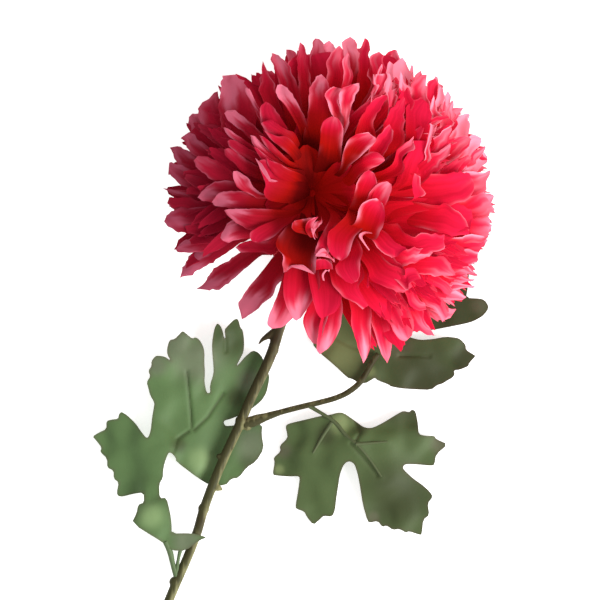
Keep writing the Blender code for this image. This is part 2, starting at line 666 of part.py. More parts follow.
def make_leaf(name, outline, anchors, ribs, petiole, material):
    """One leaf: its blade, ribs and petiole joined as one body."""
    leaf = add_object(name, leaf_mesh(name, outline, anchors), material)
    group = new_group(name + "_ribs")
    for index, rib in enumerate(ribs):
        label = f"{name}_rib_{index}"
        add_object(label, tube_mesh(label, rib_path(rib, anchors), RIB_SIDES), material, group)
    if petiole:
        label = name + "_petiole"
        add_object(label, tube_mesh(label, smooth_path(petiole, RIB_STEPS), RIB_SIDES), material, group)
    fuse(leaf, group, "EXACT")
    return leaf


def main():
    clear_scene()
    make_bloom()
    make_calyx()
    make_stem()
    make_branch()
    green = matt_material("leaf_green", LEAF_GREEN, 0.65)
    dark = matt_material("leaf_dark", LEAF_DARK, 0.6)
    make_leaf("leaf_left", LEFT_LEAF_PX, LEFT_LEAF_HEIGHTS, LEFT_LEAF_RIBS, LEFT_PETIOLE, green)
    make_leaf("leaf_lower_right", LOWER_LEAF_PX, LOWER_LEAF_HEIGHTS, LOWER_LEAF_RIBS, LOWER_PETIOLE, green)
    make_leaf("leaf_upper_right", UPPER_LEAF_PX, UPPER_LEAF_HEIGHTS, UPPER_LEAF_RIBS, None, dark)
    make_leaf("leaf_behind_bloom", BEHIND_LEAF_PX, BEHIND_LEAF_HEIGHTS, BEHIND_LEAF_RIBS, None, dark)


main()
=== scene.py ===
import math
import random
from collections import namedtuple

import bpy
import numpy as np
from bpy.props import FloatProperty, FloatVectorProperty, PointerProperty
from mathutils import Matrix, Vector


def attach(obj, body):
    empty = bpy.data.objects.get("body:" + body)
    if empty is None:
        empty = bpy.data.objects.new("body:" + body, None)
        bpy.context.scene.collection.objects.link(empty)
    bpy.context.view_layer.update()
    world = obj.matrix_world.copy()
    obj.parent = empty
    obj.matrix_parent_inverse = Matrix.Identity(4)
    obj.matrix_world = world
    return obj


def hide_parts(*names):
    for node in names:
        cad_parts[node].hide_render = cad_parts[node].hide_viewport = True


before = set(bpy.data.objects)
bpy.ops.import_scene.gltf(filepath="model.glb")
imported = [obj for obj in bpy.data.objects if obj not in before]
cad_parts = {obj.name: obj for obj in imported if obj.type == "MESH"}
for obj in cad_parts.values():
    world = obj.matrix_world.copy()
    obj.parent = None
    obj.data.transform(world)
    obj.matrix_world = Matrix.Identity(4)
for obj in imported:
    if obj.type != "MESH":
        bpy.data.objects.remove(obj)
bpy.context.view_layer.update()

bl_info = {
    "name": "Disbud chrysanthemum",
    "version": (1, 0, 0),
    "blender": (4, 5, 0),
    "location": "View3D > Sidebar > Chrysanthemum",
    "description": "Dresses the packed flower with petals, leaves, stems and a soft studio",
    "category": "Add Mesh",
}

MM = 0.001
SEED = 7

# Scale and place of the straight view of the flower, as in its construction
BLOOM_WIDTH = 140 * MM
BLOOM_WIDTH_PX = 325
PIXEL = BLOOM_WIDTH / BLOOM_WIDTH_PX
MIDDLE_PX = (293.1, 410.4)
VIEW_PX = 600

# Bloom: its axis and dark heart, the core that petals on a line start in, and the dome of the petals' ends
BLOOM_AXIS_PX = (324, 205)
HEART_PX = (312, 194)
CORE_Z = 44 * MM
CORE_RADIUS = 27 * MM
CORE_HALF_HEIGHT = 24 * MM
DOME_RADIUS = 72 * MM
DOME_SHOULDER_Z = 60 * MM
DOME_RISE = 42 * MM

# Receptacle, with furrows between the petal roots round it
RECEPTACLE_Z = 42 * MM
RECEPTACLE_RADIUS = 23 * MM
RECEPTACLE_HALF_HEIGHT = 34 * MM
RECEPTACLE_FLATNESS = 0.6
FURROW_COUNT = 32
FURROW_DEPTH = 0.02

# Faces of the flat blades across and along, and the angle up to which a petal's look smooth
OUTLINED_GRID = (16, 34)
LINE_GRID = (12, 18)
BRACT_GRID = (10, 16)
PETAL_SMOOTHING = math.radians(50)

# Line of a petal: how it leaves the core, how far it arches out, and the steps that it is laid in
BASE_LIFT = math.radians(18)
STEEPEST_BASE = math.radians(84)
BASE_DEPTH = 0.78
BASE_TURN = 0.25
PETAL_ARCH = 0.5
LINE_STATIONS = 41

# How a petal on a line is formed: half angle of its cup, curl of its end towards the axis, roll about its
# length, wave of its edges, share of its length that the end's arch takes, sharpness of the arch and depth
# of its teeth
Form = namedtuple("Form", "cup curl roll wave end arch teeth")
BLADE = Form(0.45, 0.10, 0.0, 0.08, 0.24, 1.8, 0.03)
TOOTHED = Form(0.5, 0.10, 0.0, 0.2, 0.2, 1.5, 0.05)

# What chance gives a petal on a line
ROLLS = (-0.35, 0.35)
CUP_SHARES = (0.6, 1.3)
CURL_GAINS = (-0.25, 0.35)

# Its width at root and end as shares of the full width, and the turns of its coarse and fine teeth
ROOT_SLIMNESS = 0.42
END_NARROWING = 0.12
COARSE_TEETH = 4.2
FINE_TEETH = 9
FINE_TOOTH_DEPTH = 0.5

# Spans of its length over which its curl, width, narrower end and waves grow
CURL_SPAN = (0.35, 1.0)
WIDENING_SPAN = (0.0, 0.55)
END_SPAN = (0.7, 1.0)
LINE_WAVE_SPAN = (0.2, 0.9)

# Pleats and waves of both kinds of petal, and how much thinner their edges are than their middles
PLEAT = 0.07
PLEAT_SPAN = (0.2, 0.6)
LINE_PLEATS = 3.4
OUTLINED_PLEATS = (2.2, 4.2)
LINE_WAVE = (9, 1)
OUTLINED_WAVE = (11, 1)
LINE_THINNING = 0.45
OUTLINED_THINNING = 0.4

# Outlined petal: its hidden root, as shares of what shows, and its bulge, cup and waves
ROOT_SHARE = 0.3
ROOT_WIDTH = 0.75
END_CROWDING = 1.35
OUTLINED_BULGE = 0.12
OUTLINED_CUP = 0.8
OUTLINED_WAVE_SHARE = 0.09
OUTLINED_CUP_SPAN = (0.05, 0.5)
OUTLINED_WAVE_SPAN = (0.3, 0.9)

# What chance gives it: its lean, and the rise of its end as a share of its length
LEANS = (-0.2, 0.2)
END_RISES = (-0.05, 0.03)

# Height above which a petal is pressed down, and the share of its rise that stays
TOP_Z = 94 * MM
TOP_SHARE = 0.45

# Frills of its edges by pitch and height in pixels: weaker near the heart, on narrow petals and at the
# lower left, and set in and ended over spans of its length
FRILLS = ((14, 0.4), (7.5, 0.4), (4.5, 0.35))
FRILL_REACH = (32 * MM, 62 * MM)
HEART_FRILL = 0.2
FRILL_WIDTH_PX = 14
CALM_UNDER_PX = (285, 310)
CALM_LEFT_OF_PX = (430, 405)
CALM_SHARE = 0.75
FRILL_SPANS = ((0.3, 0.8), (0.6, 0.95))
FRILL_END = (0.97, 1.0)

# Pale line along a petal's border: its reach, paleness and strength, the waves along and across the
# petal that make these uneven, how fast it fades inwards and where along the petal it sets in
RIM_REACH = 1.05 * MM
RIM_PALENESS = 0.84
RIM_STRENGTH = 0.55
RIM_WAVES = ((9, 2), (21, -4))
RIM_UNEVENNESS = 0.28
RIM_LEAN = 0.4
RIM_REACH_MEAN = 1.1
RIM_REACH_WAVE = (14, 3)
RIM_REACH_UNEVENNESS = 0.5
RIM_FALL = 1.5
RIM_SPAN = (0.3, 0.8)

# What a petal's own value for its line changes: the reach, the strength and how early it sets in
LEAST_REACH = 0.4
LINE_STRENGTH = 0.4
LINE_EARLINESS = 0.2

# Pale end of a petal: where it starts and how fast it grows, the flames of its border, what is left
# where the rim is weak, and what chance gives where no value is given
END_PALENESS = 0.7
END_START = 0.76
END_GROWTH = 0.24
END_SPREAD = 0.16
END_FLAMES = ((4, 0.05), (11, 0.025))
WEAK_END = 0.7
LEAST_END = 0.25
MORE_END = 1.5

# Limits of all paleness, and what the bloom's dull side takes from it
MOST_PALE = 0.95
PALE_CONTRAST = 2.4
DULL_LOSS = 0.45

# Dullness over the bloom's axis, and how it falls to the right over the dome's radius; the dullness is partly
# a duller hue and partly painted shade on the bloom's left side, away from the key light
MIDDLE_DULLNESS = 0.25
DULLNESS_SLOPE = 0.75

# Shade between the petals: the depth under the dome that is dark, the ring round the heart, and the
# hollows by plan pixel, reach in pixels and darkness
SHADE_DEPTH = 26 * MM
SHADE_SHARE = 0.42
SHADE_END = (0.75, 1.0)
DARK_RING = (18 * MM, 40 * MM)
RING_SHARE = 0.12
HOLLOWS = (
    (303, 155, 19, 1.2), (308, 178, 11, 0.8), (303, 202, 11, 0.6), (276, 206, 11, 0.5), (252, 206, 9, 0.3),
)

# Petals of the bloom's face, each by the two edges of what shows of it, from root to end, in plan pixels
# as x, y, x, y; its lift over the dome in millimetres and the rise of its edges as a share of its width;
# where they aren't usual, also how pale its end and its border line are, how much painted shade darkens
# it along its length and the share of its length, from its end, that this leaves bright. The pale border
# line is partly the petal's own pale edge and partly a painted highlight on lit edges and folds
Outlined = namedtuple("Outlined", "left right lift cup end line depth bright",
                      defaults=(None, 1.0, 0.0, 0.22))
OUTLINED_PETALS = (
    # Above the heart
    ((316, 165, 319.5, 145, 321, 128, 325, 121.5, 331.5, 118.3),
     (339, 165, 341.5, 147, 343, 134, 341, 125, 337, 120), 3, 0.35, 0.9, 1.2, 2.1, 0.3),
    ((303, 140, 307.5, 118, 308.5, 97, 311, 86, 316, 79, 321, 76.3),
     (333, 125, 333, 104, 330, 90, 326, 81), 0, 0.3, 1.3, 1.2, 0.9),
    ((334, 128, 330, 114, 327, 105, 325, 97, 327.5, 91.5, 333, 88.8),
     (343, 128, 341, 114, 339, 104, 341, 97, 344, 91.5), 1, 0.6, 1.0, 1.5, 0.8),
    ((339, 130, 340.5, 115, 338.5, 100, 338.5, 94, 343, 89.7, 350, 87),
     (347, 130, 348.5, 120, 351.5, 107, 356, 98, 359, 91.5, 358.4, 85.2), 3, 0.25, 1.0, 1.6),
    ((300, 135, 288, 112, 280, 101.5, 275.5, 93.5, 277, 87.6, 281.5, 86.4),
     (308, 130, 298, 105, 292, 96, 287.5, 90), 0, 0.3, None, 1.0, 1.2, 0.3),
    ((292, 150, 275, 142, 264, 131, 260.5, 122, 260, 113, 262, 107, 266.3, 103.6),
     (298, 148, 287, 129, 281.5, 119.5, 276, 112, 271, 106.2), 0, 0.4),
    ((292, 158, 278, 142, 266, 133, 261.5, 125),
     (301, 148, 295, 135, 288, 131.5, 281, 128, 276, 124, 271, 121.4, 266, 122.8), 2, -0.5),
    ((294, 162, 282, 150, 272, 142, 264, 132), (301, 154, 288, 139, 278, 138, 270, 135), 4, -0.5),
    ((297, 174, 284, 164, 272, 154, 264, 145, 259.8, 137),
     (300, 167, 290, 162, 280, 153, 271, 144, 265, 139), 3, -0.5),
    ((290, 177, 276, 167, 264, 157, 254, 147, 250.8, 136.8),
     (295, 170, 282, 161, 271, 153, 262, 144.5, 255.5, 138), 1, -0.5),
    ((288, 182, 274, 171, 262, 161, 253.8, 148.5), (290, 173, 274, 162, 264, 155, 258, 149.8), 2, -0.4),
    ((292, 187, 276, 177, 268, 166, 266, 158.5), (303, 176, 289, 170.5, 280, 165, 271, 162.5), 4, -0.3),
    ((304, 205.5, 290, 204.5, 273, 202.3, 266.5, 199, 264, 193, 266, 186, 262.5, 176, 259, 167),
     (307, 176, 304, 171.5, 293, 170, 282, 166.5, 272, 163, 263, 161, 258.5, 163),
     1, 0.3, 0.3, 0.7, 2.2, 0.6),
    ((270, 187, 262.5, 176, 259.5, 167.5, 255.6, 159.5),
     (274, 181, 271, 180, 267, 172.5, 262, 165), 5, 0.2, 3.2, 2.0),
    # Left of the heart
    ((262, 200, 252, 196, 240, 190, 235, 183, 233.5, 177, 234, 172.6),
     (268, 196, 254.5, 188.5, 249.5, 180, 244, 175.8, 238, 172.3), 0, 0.4, 1.5, 1.6),
    ((240, 205, 215, 204.5, 203, 201.5, 198.5, 198.4),
     (245, 184, 226, 181, 217, 182.6, 210, 186, 203, 192), -1, -0.35, 1.5, 1.2),
    ((262, 210, 235, 209.5, 217, 207.2, 212.8, 203),
     (262, 193, 236, 192, 224, 192.4, 218, 195.5), 1, -0.3, 1.6, 1.2),
    ((300, 226, 275, 232, 251, 231, 242, 226.5, 234, 221.5, 228, 216, 225, 211.2),
     (300, 210, 262, 209.6, 240, 209.8, 230, 210), 2, -0.3, 1.5, 1.2, 0.5),
    ((292, 222, 283, 229, 275, 237, 267, 241, 259, 243.2),
     (280, 218, 262, 226, 252, 232, 250.4, 236, 251, 240, 254, 242.6), 1.5, 0.3),
    ((262, 236, 246, 239, 236, 241.5, 229, 243.2, 224, 241.5),
     (260, 222, 236, 220, 230, 223, 226, 228, 222.6, 233.5, 221.2, 238.5), -1, -0.3, 1.6, 1.2),
    ((276, 253, 262, 253, 243, 252.7, 239, 251, 236, 248), (272, 239, 250, 241, 240, 244.3), -8, 0.3),
    ((215, 236, 195, 235.2, 186, 234.7, 176, 231.6, 170, 227.8, 165, 222.3),
     (215, 205, 190, 208, 178, 209.6, 172, 211.3, 167.5, 216), 2, -0.3, 1.4),
    ((215, 250, 205, 252, 191.6, 254.2, 185, 254.6, 180, 253, 176.4, 249.7),
     (215, 231, 195, 235.4, 190, 239, 184, 241.4, 180, 245), -3, -0.3, 1.5),
    ((249, 240, 240, 244, 225, 255, 212, 263.3, 200, 271, 190, 275.8, 180.5, 278),
     (235, 228, 215, 241, 192, 253, 187.5, 259.3, 184, 265.5, 182, 273), -6, -0.25, 1.8),
    ((276, 252.6, 262, 255.6, 246, 269, 237, 276.4, 228, 285, 219.5, 289.5, 208, 291, 196.7, 289),
     (262, 243, 241, 252.5, 226, 262, 213.5, 268.6, 209, 276, 206.5, 280.5, 203, 285),
     -14, 0.15, 1.5, 1.4),
    ((288, 272, 277, 285.5, 273, 296, 264, 302.5, 259.6, 307.8, 253, 313, 242.3, 319.3),
     (288, 244, 276, 254, 265, 268, 255, 280, 247, 289.6, 241, 299, 238.3, 303, 240.4, 311.4),
     -14, 0.15, 1.8, 1.5),
    # Upper left side
    ((232, 165, 222.5, 145, 221, 125, 219, 108, 220.3, 94, 222.8, 77.2),
     (262, 140, 256, 115, 252.5, 100, 249.3, 89.6, 242, 81.5, 236.5, 76), 2.5, 0.3, 1.7),
    ((250, 110, 240, 95, 236, 84, 236, 75), (288, 120, 272, 100, 263, 88, 257, 86, 246, 79), -6, 0.3),
    ((262, 125, 255, 112, 249, 100, 245.5, 91.5, 246.5, 89.6),
     (267, 120, 259, 108, 253.5, 98, 250, 91), 3, -0.5),
    ((250, 140, 238, 130, 228, 121, 225, 115),
     (262, 134, 250, 123, 240, 115, 234, 111.8, 228, 112), 1, -0.4, 1.7, 1.1),
    ((250, 155, 236, 143, 227, 135, 224, 129),
     (256, 149, 244, 141, 234, 133.5, 228, 130), 2, -0.4, 1.4, 1.2),
    ((256, 165, 240, 156, 231, 149, 228, 143), (262, 157, 248, 149, 237, 142.5, 231, 141), 1, -0.4),
    ((248, 176, 236, 166, 227, 158, 225, 151), (258, 167, 244, 158, 234, 151, 229, 149.5), 0, -0.4),
    ((240, 165, 222, 150, 208, 138, 200, 122, 198.5, 110),
     (250, 150, 232, 125, 223, 105, 217, 92.5, 210, 99.5, 203, 103.5), -2, -0.3, 1.3),
    ((225, 160, 205, 148, 193, 136, 190.5, 127, 189.3, 118.2),
     (230, 148, 212, 130, 203, 118, 198, 114, 193, 114.5), -6, -0.3, 1.4),
    ((222, 172, 200, 160, 187, 149, 182, 138.6), (226, 160, 208, 146, 197, 138, 190, 133), -3, -0.3, 1.4),
    ((212, 180, 190, 171, 176, 163, 173, 155, 170.5, 148.2),
     (218, 166, 200, 157, 186, 149.5, 178, 146.8), -6, -0.2, 1.4),
    ((210, 196, 190, 190, 178, 183, 169, 175.2),
     (214, 184, 195, 174, 183, 165, 174, 163, 170, 163.5), -2, -0.3, 1.4),
    ((205, 203, 185, 199, 175, 196, 163.5, 188.8),
     (208, 195, 190, 191, 178, 190.5, 170, 189.5), -6, -0.2, 1.4),
    ((205, 213, 185, 211, 175, 209, 168, 204), (206, 201, 190, 197, 180, 197.5, 170, 198), -3, -0.2),
    ((238, 192, 215, 182, 200, 172, 194.5, 162), (244, 180, 225, 166, 208, 158, 199, 157), 1, -0.3, 1.2),
    ((224, 160, 206, 150, 196, 142, 190, 134),
     (236, 146, 214, 132, 204, 128, 196, 128), -9, 0.2, 0.6, 0.6),
    # Top
    ((262, 100, 261.5, 80, 261.5, 70, 263, 62.5), (280, 105, 274, 85, 270, 77, 266, 69), -4, 0.3, 0.9),
    ((284, 92, 286, 68, 296, 57), (350, 92, 342, 62, 330, 53), -10, 0.3, 0.4),
    ((282, 105, 277, 80, 272, 65, 272, 54.5),
     (302, 105, 297, 85, 291, 70, 285, 62.5, 279, 57), -1, 0.3, 1.5),
    ((292, 95, 289, 70, 286, 57, 286.3, 50.8), (308, 95, 301, 70, 297, 55, 291, 51), -6, 0.3, 1.3),
    ((299, 100, 297.5, 75, 297.5, 52, 300, 43.6), (314, 100, 309.5, 75, 308, 58, 304, 47), -2, 0.4, 0.9),
    ((310, 85, 309, 60, 310.5, 48, 315, 39.5), (330, 85, 327, 58, 325, 46, 319, 40), -2, 0.3, 1.4),
    ((322, 80, 323.5, 55, 325, 45, 329, 41.7), (338, 80, 336.5, 55, 333.5, 46), -6, 0.3, 1.6),
    ((326, 88, 325.5, 65, 332, 52.5, 339.3, 47.2), (350, 88, 347, 68, 344.5, 58, 343, 52), 0, 0.4, 1.1),
    ((341, 88, 342, 67, 344.5, 57.5, 346.8, 54.3), (351, 88, 350, 68, 349.5, 58), 3, 0.3, 1.3),
    ((340, 75, 341.5, 50, 344.5, 41, 350, 37.4), (362, 75, 358.5, 50, 355, 41), -4, 0.3, 1.6),
    ((352, 112, 356, 85, 358, 62, 360, 48, 364.5, 38.8),
     (372, 105, 370, 78, 369.5, 58, 370, 48, 368, 41), -1, 0.4, 0.8, 0.6, 0.3),
    ((371, 92, 369.5, 68, 370.5, 57.5, 378.5, 52.8), (388, 90, 384, 68, 383.5, 57), -4, 0.3, 0.9),
    ((366, 96, 367, 74, 370, 62, 377, 57), (404, 96, 402, 74, 397, 61, 388, 56), -9, 0.3, 0.5),
    ((372, 90, 376, 76, 379, 69, 381.5, 65.5), (377, 92, 380, 78, 382, 70), -2.5, 0.2, 0.6, 1.6),
    ((384, 88, 382.5, 64, 385, 54, 394, 50.2),
     (405, 88, 400, 64, 399, 56.5, 396.5, 51), -5, 0.3, 1.0, 1.3),
    ((388, 96, 391, 76, 392, 66, 396, 61, 402, 59), (412, 98, 411, 84, 408.5, 72, 405, 63), -1, 0.3, 2.0),
    ((386, 92, 385, 76, 386.5, 66, 389, 63), (396, 94, 395, 86, 392.5, 76, 393, 66), 0, 0.3, 1.8, 1.2),
    ((394, 98, 397, 88, 399, 78, 399.5, 72.5), (406, 98, 405, 86, 403, 80), 0.5, 0.3, 1.5),
    ((405, 92, 408.5, 78, 410, 69, 411.3, 65), (413, 94, 413, 78, 412.8, 68), -4, 0.3, 1.8),
    # Upper right
    ((338, 172, 342, 157, 345, 147, 349, 140.3, 357.3, 135.9, 367.6, 134),
     (344, 174, 350, 166.2, 358.6, 159.3, 365.6, 152.8, 372.5, 146.3, 375.4, 140.5, 371.6, 137.6),
     4, 0.6, 1.0, 1.5, 1.5),
    ((344, 178, 352, 166, 365, 156, 372, 153, 378, 155, 383, 159),
     (348, 188, 360, 176, 372, 169.3, 379, 166, 384, 162), 0, -0.3),
    ((360, 165, 370, 147, 381, 133, 388.5, 126), (372, 172, 384, 155, 391, 142, 392.5, 133), -1, 0.4),
    ((345, 212, 354.7, 191, 356, 184.5, 359, 178.8, 363, 174, 368, 171.4),
     (362, 214, 372, 196, 376.5, 187, 375.5, 180.5, 373, 174.3), 4, 0.4, 0.7, 1.15, 0.9),
    ((352, 218, 365, 202, 368.3, 194.5, 372, 189.2, 378, 184.6, 386, 182.7),
     (372, 226, 384, 208, 388.5, 197, 390.7, 190.5, 390.4, 185.8), 3, 0.4),
    ((372, 112, 378, 96, 383, 88, 385.5, 79, 387, 75),
     (394, 108, 392, 92, 391, 82, 389, 76), 1, 0.3, 1.6, 1.2),
    ((366, 112, 371, 94, 373.5, 84, 375, 76.5), (384, 104, 383, 90, 385, 82, 386, 75.5), 0, 0.4, 0.8, 1.3),
    ((370, 96, 372, 86, 372.5, 76), (376, 94, 375, 86, 373.6, 77), 1, 0.2, 1.2, 1.6),
    ((380, 128, 387.5, 110, 387, 100, 386, 94), (393, 124, 391, 108, 394, 98, 396, 90), 0, 0.3, 0.9, 1.2),
    ((350, 158, 354, 136, 361, 117, 371, 103.5, 381, 97),
     (374, 150, 373, 126, 379, 112, 385, 103, 387, 97.5), 1, 0.25, 0.3, 0.8, 0.5),
    ((370, 160, 380, 134, 388, 113, 395, 105.5, 402.7, 98.3),
     (399, 150, 403, 128, 404.5, 112, 404.3, 101), 1.5, 0.35, 0.6, 0.8, 0.3),
    ((398, 158, 404, 130, 405, 112, 410, 102, 420, 99),
     (428, 152, 430, 134, 431, 118, 428, 106), -1, 0.2, 0.3, 0.5, 0.4),
    ((396, 112, 396.5, 98, 398, 88, 402, 84), (410, 112, 410, 98, 408, 88), -1, 0.3, 0.4, 0.8),
    ((404, 118, 408, 96, 412, 83, 420, 76.5, 426, 76), (426, 118, 426, 98, 425, 86), -1, 0.3, 1.2, 1.2),
    ((406, 104, 411, 88, 414.5, 76, 420.3, 71.7), (420, 104, 422, 88, 421.5, 76), -3, 0.3, 1.1),
    ((420, 122, 425, 100, 426, 87, 430, 80, 435, 79.5),
     (436, 120, 436, 104, 437.5, 86), -2, 0.3, 0.6, 0.7),
    ((428, 96, 432, 82, 435, 76.8), (437, 96, 438, 84, 437, 78), -3.5, 0.3, 2.2),
    ((428, 130, 434, 108, 436, 94, 439, 87.6), (444, 128, 445, 108, 444, 96, 442.5, 90), -2, 0.3, 1.6),
    ((434, 120, 441, 104, 444, 96, 447.5, 91.6), (446, 120, 449, 106, 450.5, 97), -4, 0.3, 1.6, 1.2),
    ((438, 122, 445, 110, 450, 102, 452.6, 101.8), (448, 124, 452, 112, 453, 105), -5, 0.3, 1.5, 1.2),
    ((424, 128, 429, 110, 431, 102, 432.8, 96.6), (436, 126, 436, 112, 434, 102), 0, 0.3, 1.0, 1.6),
    ((430, 140, 438, 120, 441, 108, 443.5, 100), (446, 132, 447, 118, 446, 108), 0, 0.3, 1.0, 1.5),
    ((438, 128, 446, 114, 453, 108.6, 463, 108.6),
     (450, 134, 456, 120, 459.5, 113.5, 462, 110), -3, 0.3, 1.3),
    ((442, 142, 452, 122, 460, 114.4, 468.4, 114.3),
     (456, 152, 466, 138, 469.5, 130, 469.5, 123, 467, 120.5, 468.8, 116), -5, 0.3, 1.9, 1.2),
    ((428, 122, 436, 118, 446, 117), (430, 126, 438, 122, 448, 119), 1, 0.2, 0.4, 0.8),
    ((414, 166, 424, 148, 436, 137, 443, 131, 449.8, 126.7),
     (430, 168, 444, 152, 448.5, 140, 450.5, 131), 0.5, 0.3, 1.2, 1.2),
    ((420, 150, 430, 136, 440, 128, 447, 126.5),
     (428, 156, 438, 142, 446, 134, 449, 129), -1, 0.3, 0.3, 0.5),
    ((417, 165, 423, 152, 427, 138, 429, 128, 428.5, 124.7),
     (424, 166, 428, 150, 431, 137, 432.4, 127), 0, 0.3, 1.4, 1.4),
    ((385, 170, 396, 152, 403, 144.5, 409, 141, 412.7, 137.8),
     (399.7, 176, 401, 160, 408, 154, 414.3, 150, 411.5, 143.5), 1, 0.4, 1.2, 0.7),
    ((386, 190, 398, 172, 406, 155, 412, 142),
     (418, 186, 427, 168, 430, 154, 428, 142), -5, 0.2, 0.1, 0.2, 0.3, 0.5),
    ((395, 182, 415.8, 166.8, 425, 158.3, 437, 152, 443, 148, 449.2, 144.2),
     (410, 190, 434, 172, 440, 164, 447.6, 157, 449.4, 150), 0, 0.3, 1.2, 0.7),
    # Right of the heart
    ((355, 208, 378, 181, 393, 176, 407, 174.2, 425, 175, 445, 174, 462, 172.4, 468, 174),
     (372, 226, 400, 217, 430, 211, 455, 205, 471, 197, 473, 184), -1, 0.12, 0.6, 0.8, -0.2),
    ((362, 222, 385, 203, 410, 199, 435, 199, 456, 203, 470, 210),
     (372, 238, 400, 236, 425, 237, 448, 236, 466, 231, 472, 221), -2, 0.1, 0.5, 0.6, -0.35),
    ((406, 202, 411, 192, 411.5, 181, 413, 174.5), (419, 198, 419.5, 187, 419, 178), 1, 0.5),
    ((350, 226, 359.3, 207.3, 365, 202.3, 370, 200.4, 375.5, 199.3),
     (370, 240, 380, 231, 383.3, 222, 384.2, 213, 381.5, 204.5), 5, 0.7, 0.5, 1.35, 1.2),
    ((380, 222, 397, 224.7, 402.3, 231.8, 410, 236.3, 416, 236, 422.8, 233.3, 433, 234, 443.4, 235.3),
     (386, 250, 410, 254, 430, 254, 443, 249, 442, 243), 0, 0.3),
    ((378, 238, 397, 244, 405.5, 248.5, 413, 247.8, 424, 249.3, 431.6, 253),
     (390, 266, 405, 266, 421, 260, 428, 257), 0.5, 0.3),
    ((366, 236, 376.6, 248.6, 384, 255, 390.7, 258.2),
     (379, 229, 388, 236, 396, 244, 405.4, 248.6, 401, 252.5, 396.5, 257), 3, 0.5),
    ((373, 230.6, 363, 232.4, 358, 236, 361, 241.8, 368, 251),
     (374, 232, 365.4, 234, 361.6, 237, 363.6, 242.2, 369, 250.8), 4, 0.2, 1.8, 1.3),
    ((404, 252, 425, 256, 440, 256.5, 448, 262, 452.5, 268, 454.3, 275.5),
     (400, 270, 420, 275, 434, 276, 447, 276), -2, 0.35),
    ((398, 272, 404, 267.3, 412, 268, 417, 272.5), (400, 286, 408, 283.3, 415, 280.5, 420, 279.3), 3, 0.5),
    ((430, 205, 441, 204, 450.5, 208, 458, 212, 464, 219, 467, 227),
     (432, 232, 450, 236, 460, 237, 468, 235), 1, 0.3),
    # Right rim
    ((434, 160, 446, 146, 456, 138, 468, 137.5),
     (446, 166, 458, 156, 468, 148, 470, 140), -4, 0.3, 1.1, 1.2),
    ((448, 158, 462, 144, 468, 137.5, 474, 135.5, 481, 138.5),
     (460, 164, 470, 156, 478, 149, 480.8, 142), -6, 0.3, 1.6, 1.3),
    ((458, 166, 472, 153, 479, 148.5, 484.5, 146.3),
     (464, 170, 476, 160, 483, 153, 485.3, 148), -9, 0.3, 1.2, 1.2),
    ((452, 172, 466, 158, 476, 151, 484, 152.5),
     (462, 182, 474, 174, 481, 168, 486.5, 162, 487, 157), -8, 0.4, 1.8, 1.2),
    ((440, 182, 462, 172, 478, 173, 489.5, 170.5),
     (450, 200, 470, 198, 483.5, 192, 486, 184, 488.5, 178, 490, 172), -5, 0.4, 1.4, 1.3),
    ((448, 202, 476, 190, 484, 192, 493, 195.5),
     (454, 222, 476, 219, 489, 218, 490, 215, 495, 211, 490, 206, 493.5, 197), -7, 0.4, 1.35, 1.2),
    ((450, 216, 472, 212, 489, 217, 488.5, 223, 491.5, 225),
     (450, 240, 472, 244, 487, 240, 487, 235, 490.5, 231), -9, 0.3, 1.2, 1.2),
    ((446, 236, 466, 234, 480, 236, 487, 240),
     (446, 256, 466, 257, 478, 252, 480, 248, 483.5, 247), -8, 0.3, 0.8, 1.3),
    ((440, 250, 456, 249, 470, 249, 478, 252),
     (440, 268, 458, 272, 468, 267, 473, 264, 477, 262, 477, 256), -10, 0.3, 0.8, 1.3),
    ((440, 262, 454, 262, 464, 265, 470, 270, 477, 274.5),
     (442, 276, 456, 278, 466, 274, 471, 273), -9, 0.3, 1.1, 1.4),
    ((440, 274, 455, 275, 466, 278, 475, 279.3), (440, 282, 454, 284, 466, 282, 473, 281), -10, 0.3, 1.2),
    ((438, 278, 452, 280, 464, 284, 475, 286.3), (438, 288, 452, 291, 464, 288, 473, 288), -11, 0.3, 1.3),
    ((430, 282, 444, 286, 456, 291, 466, 297), (426, 294, 440, 299, 452, 301, 462, 300), -10, 0.3, 1.3),
    ((424, 292, 438, 300, 448, 306, 456, 309), (418, 300, 432, 312, 442, 318, 450, 318), -10, 0.3, 1.2),
    # Under the heart
    ((299, 220, 288, 226.2, 282, 233, 277.8, 238.6, 276.2, 245, 278.4, 250.8, 283.3, 256, 282.4, 264,
      284, 273),
     (323, 232, 318, 248, 316, 262, 315, 273.8, 309, 270.6, 302, 266.3, 296, 265),
     0, 1.3, 0.1, 1.5, 1.2, -0.6),
    ((316, 236, 304, 235, 296, 233, 292, 229, 292.5, 224),
     (318, 216, 308, 219, 299, 220.5, 294.5, 222), 5, 0.7, 0.0, 1.05, 2.0, -0.2),
    ((312, 237, 306, 233, 305.5, 227, 308, 222, 313, 218.5),
     (318, 238, 314, 232, 313, 227, 315, 222, 318, 218), 7, 0.4, 0.0, 1.1, 1.5),
    ((321, 219, 315, 223, 311, 228.5, 312.3, 235, 314, 239.5),
     (322, 221, 319.5, 226, 315.5, 231, 313.6, 236, 315.5, 240.5), 8, 0.2, 2.0, 1.5),
    ((346, 200, 346.5, 214, 341, 221, 334, 228, 328, 233, 327, 244, 330, 254, 335.5, 259),
     (364, 222, 354, 238, 350.5, 249, 347, 257, 341, 261.3), 5, 0.6, 0.3, 1.1, 0.7),
    ((330, 215, 322, 234, 317, 244, 314, 254),
     (340, 218, 334, 234, 331, 248, 326, 257), 4, 0.2, 0.8, 1.3, 0.1),
    ((333, 257, 328, 253.6, 324, 249, 320, 250, 316, 254.5),
     (334, 260, 330, 259, 323, 257, 318, 257, 315.2, 256.5), 6, 0.2, 1.5, 1.5),
    ((311.5, 269, 310.8, 265.5, 313, 262, 316, 260, 319, 259.2),
     (332, 267, 331, 264.5, 328.5, 261.5, 325, 259.8), 3, 0.3, 0.0, 1.0, 2.5),
    ((286, 268, 290.5, 266, 295, 265.3, 303, 265.3, 308, 269, 314, 273.6),
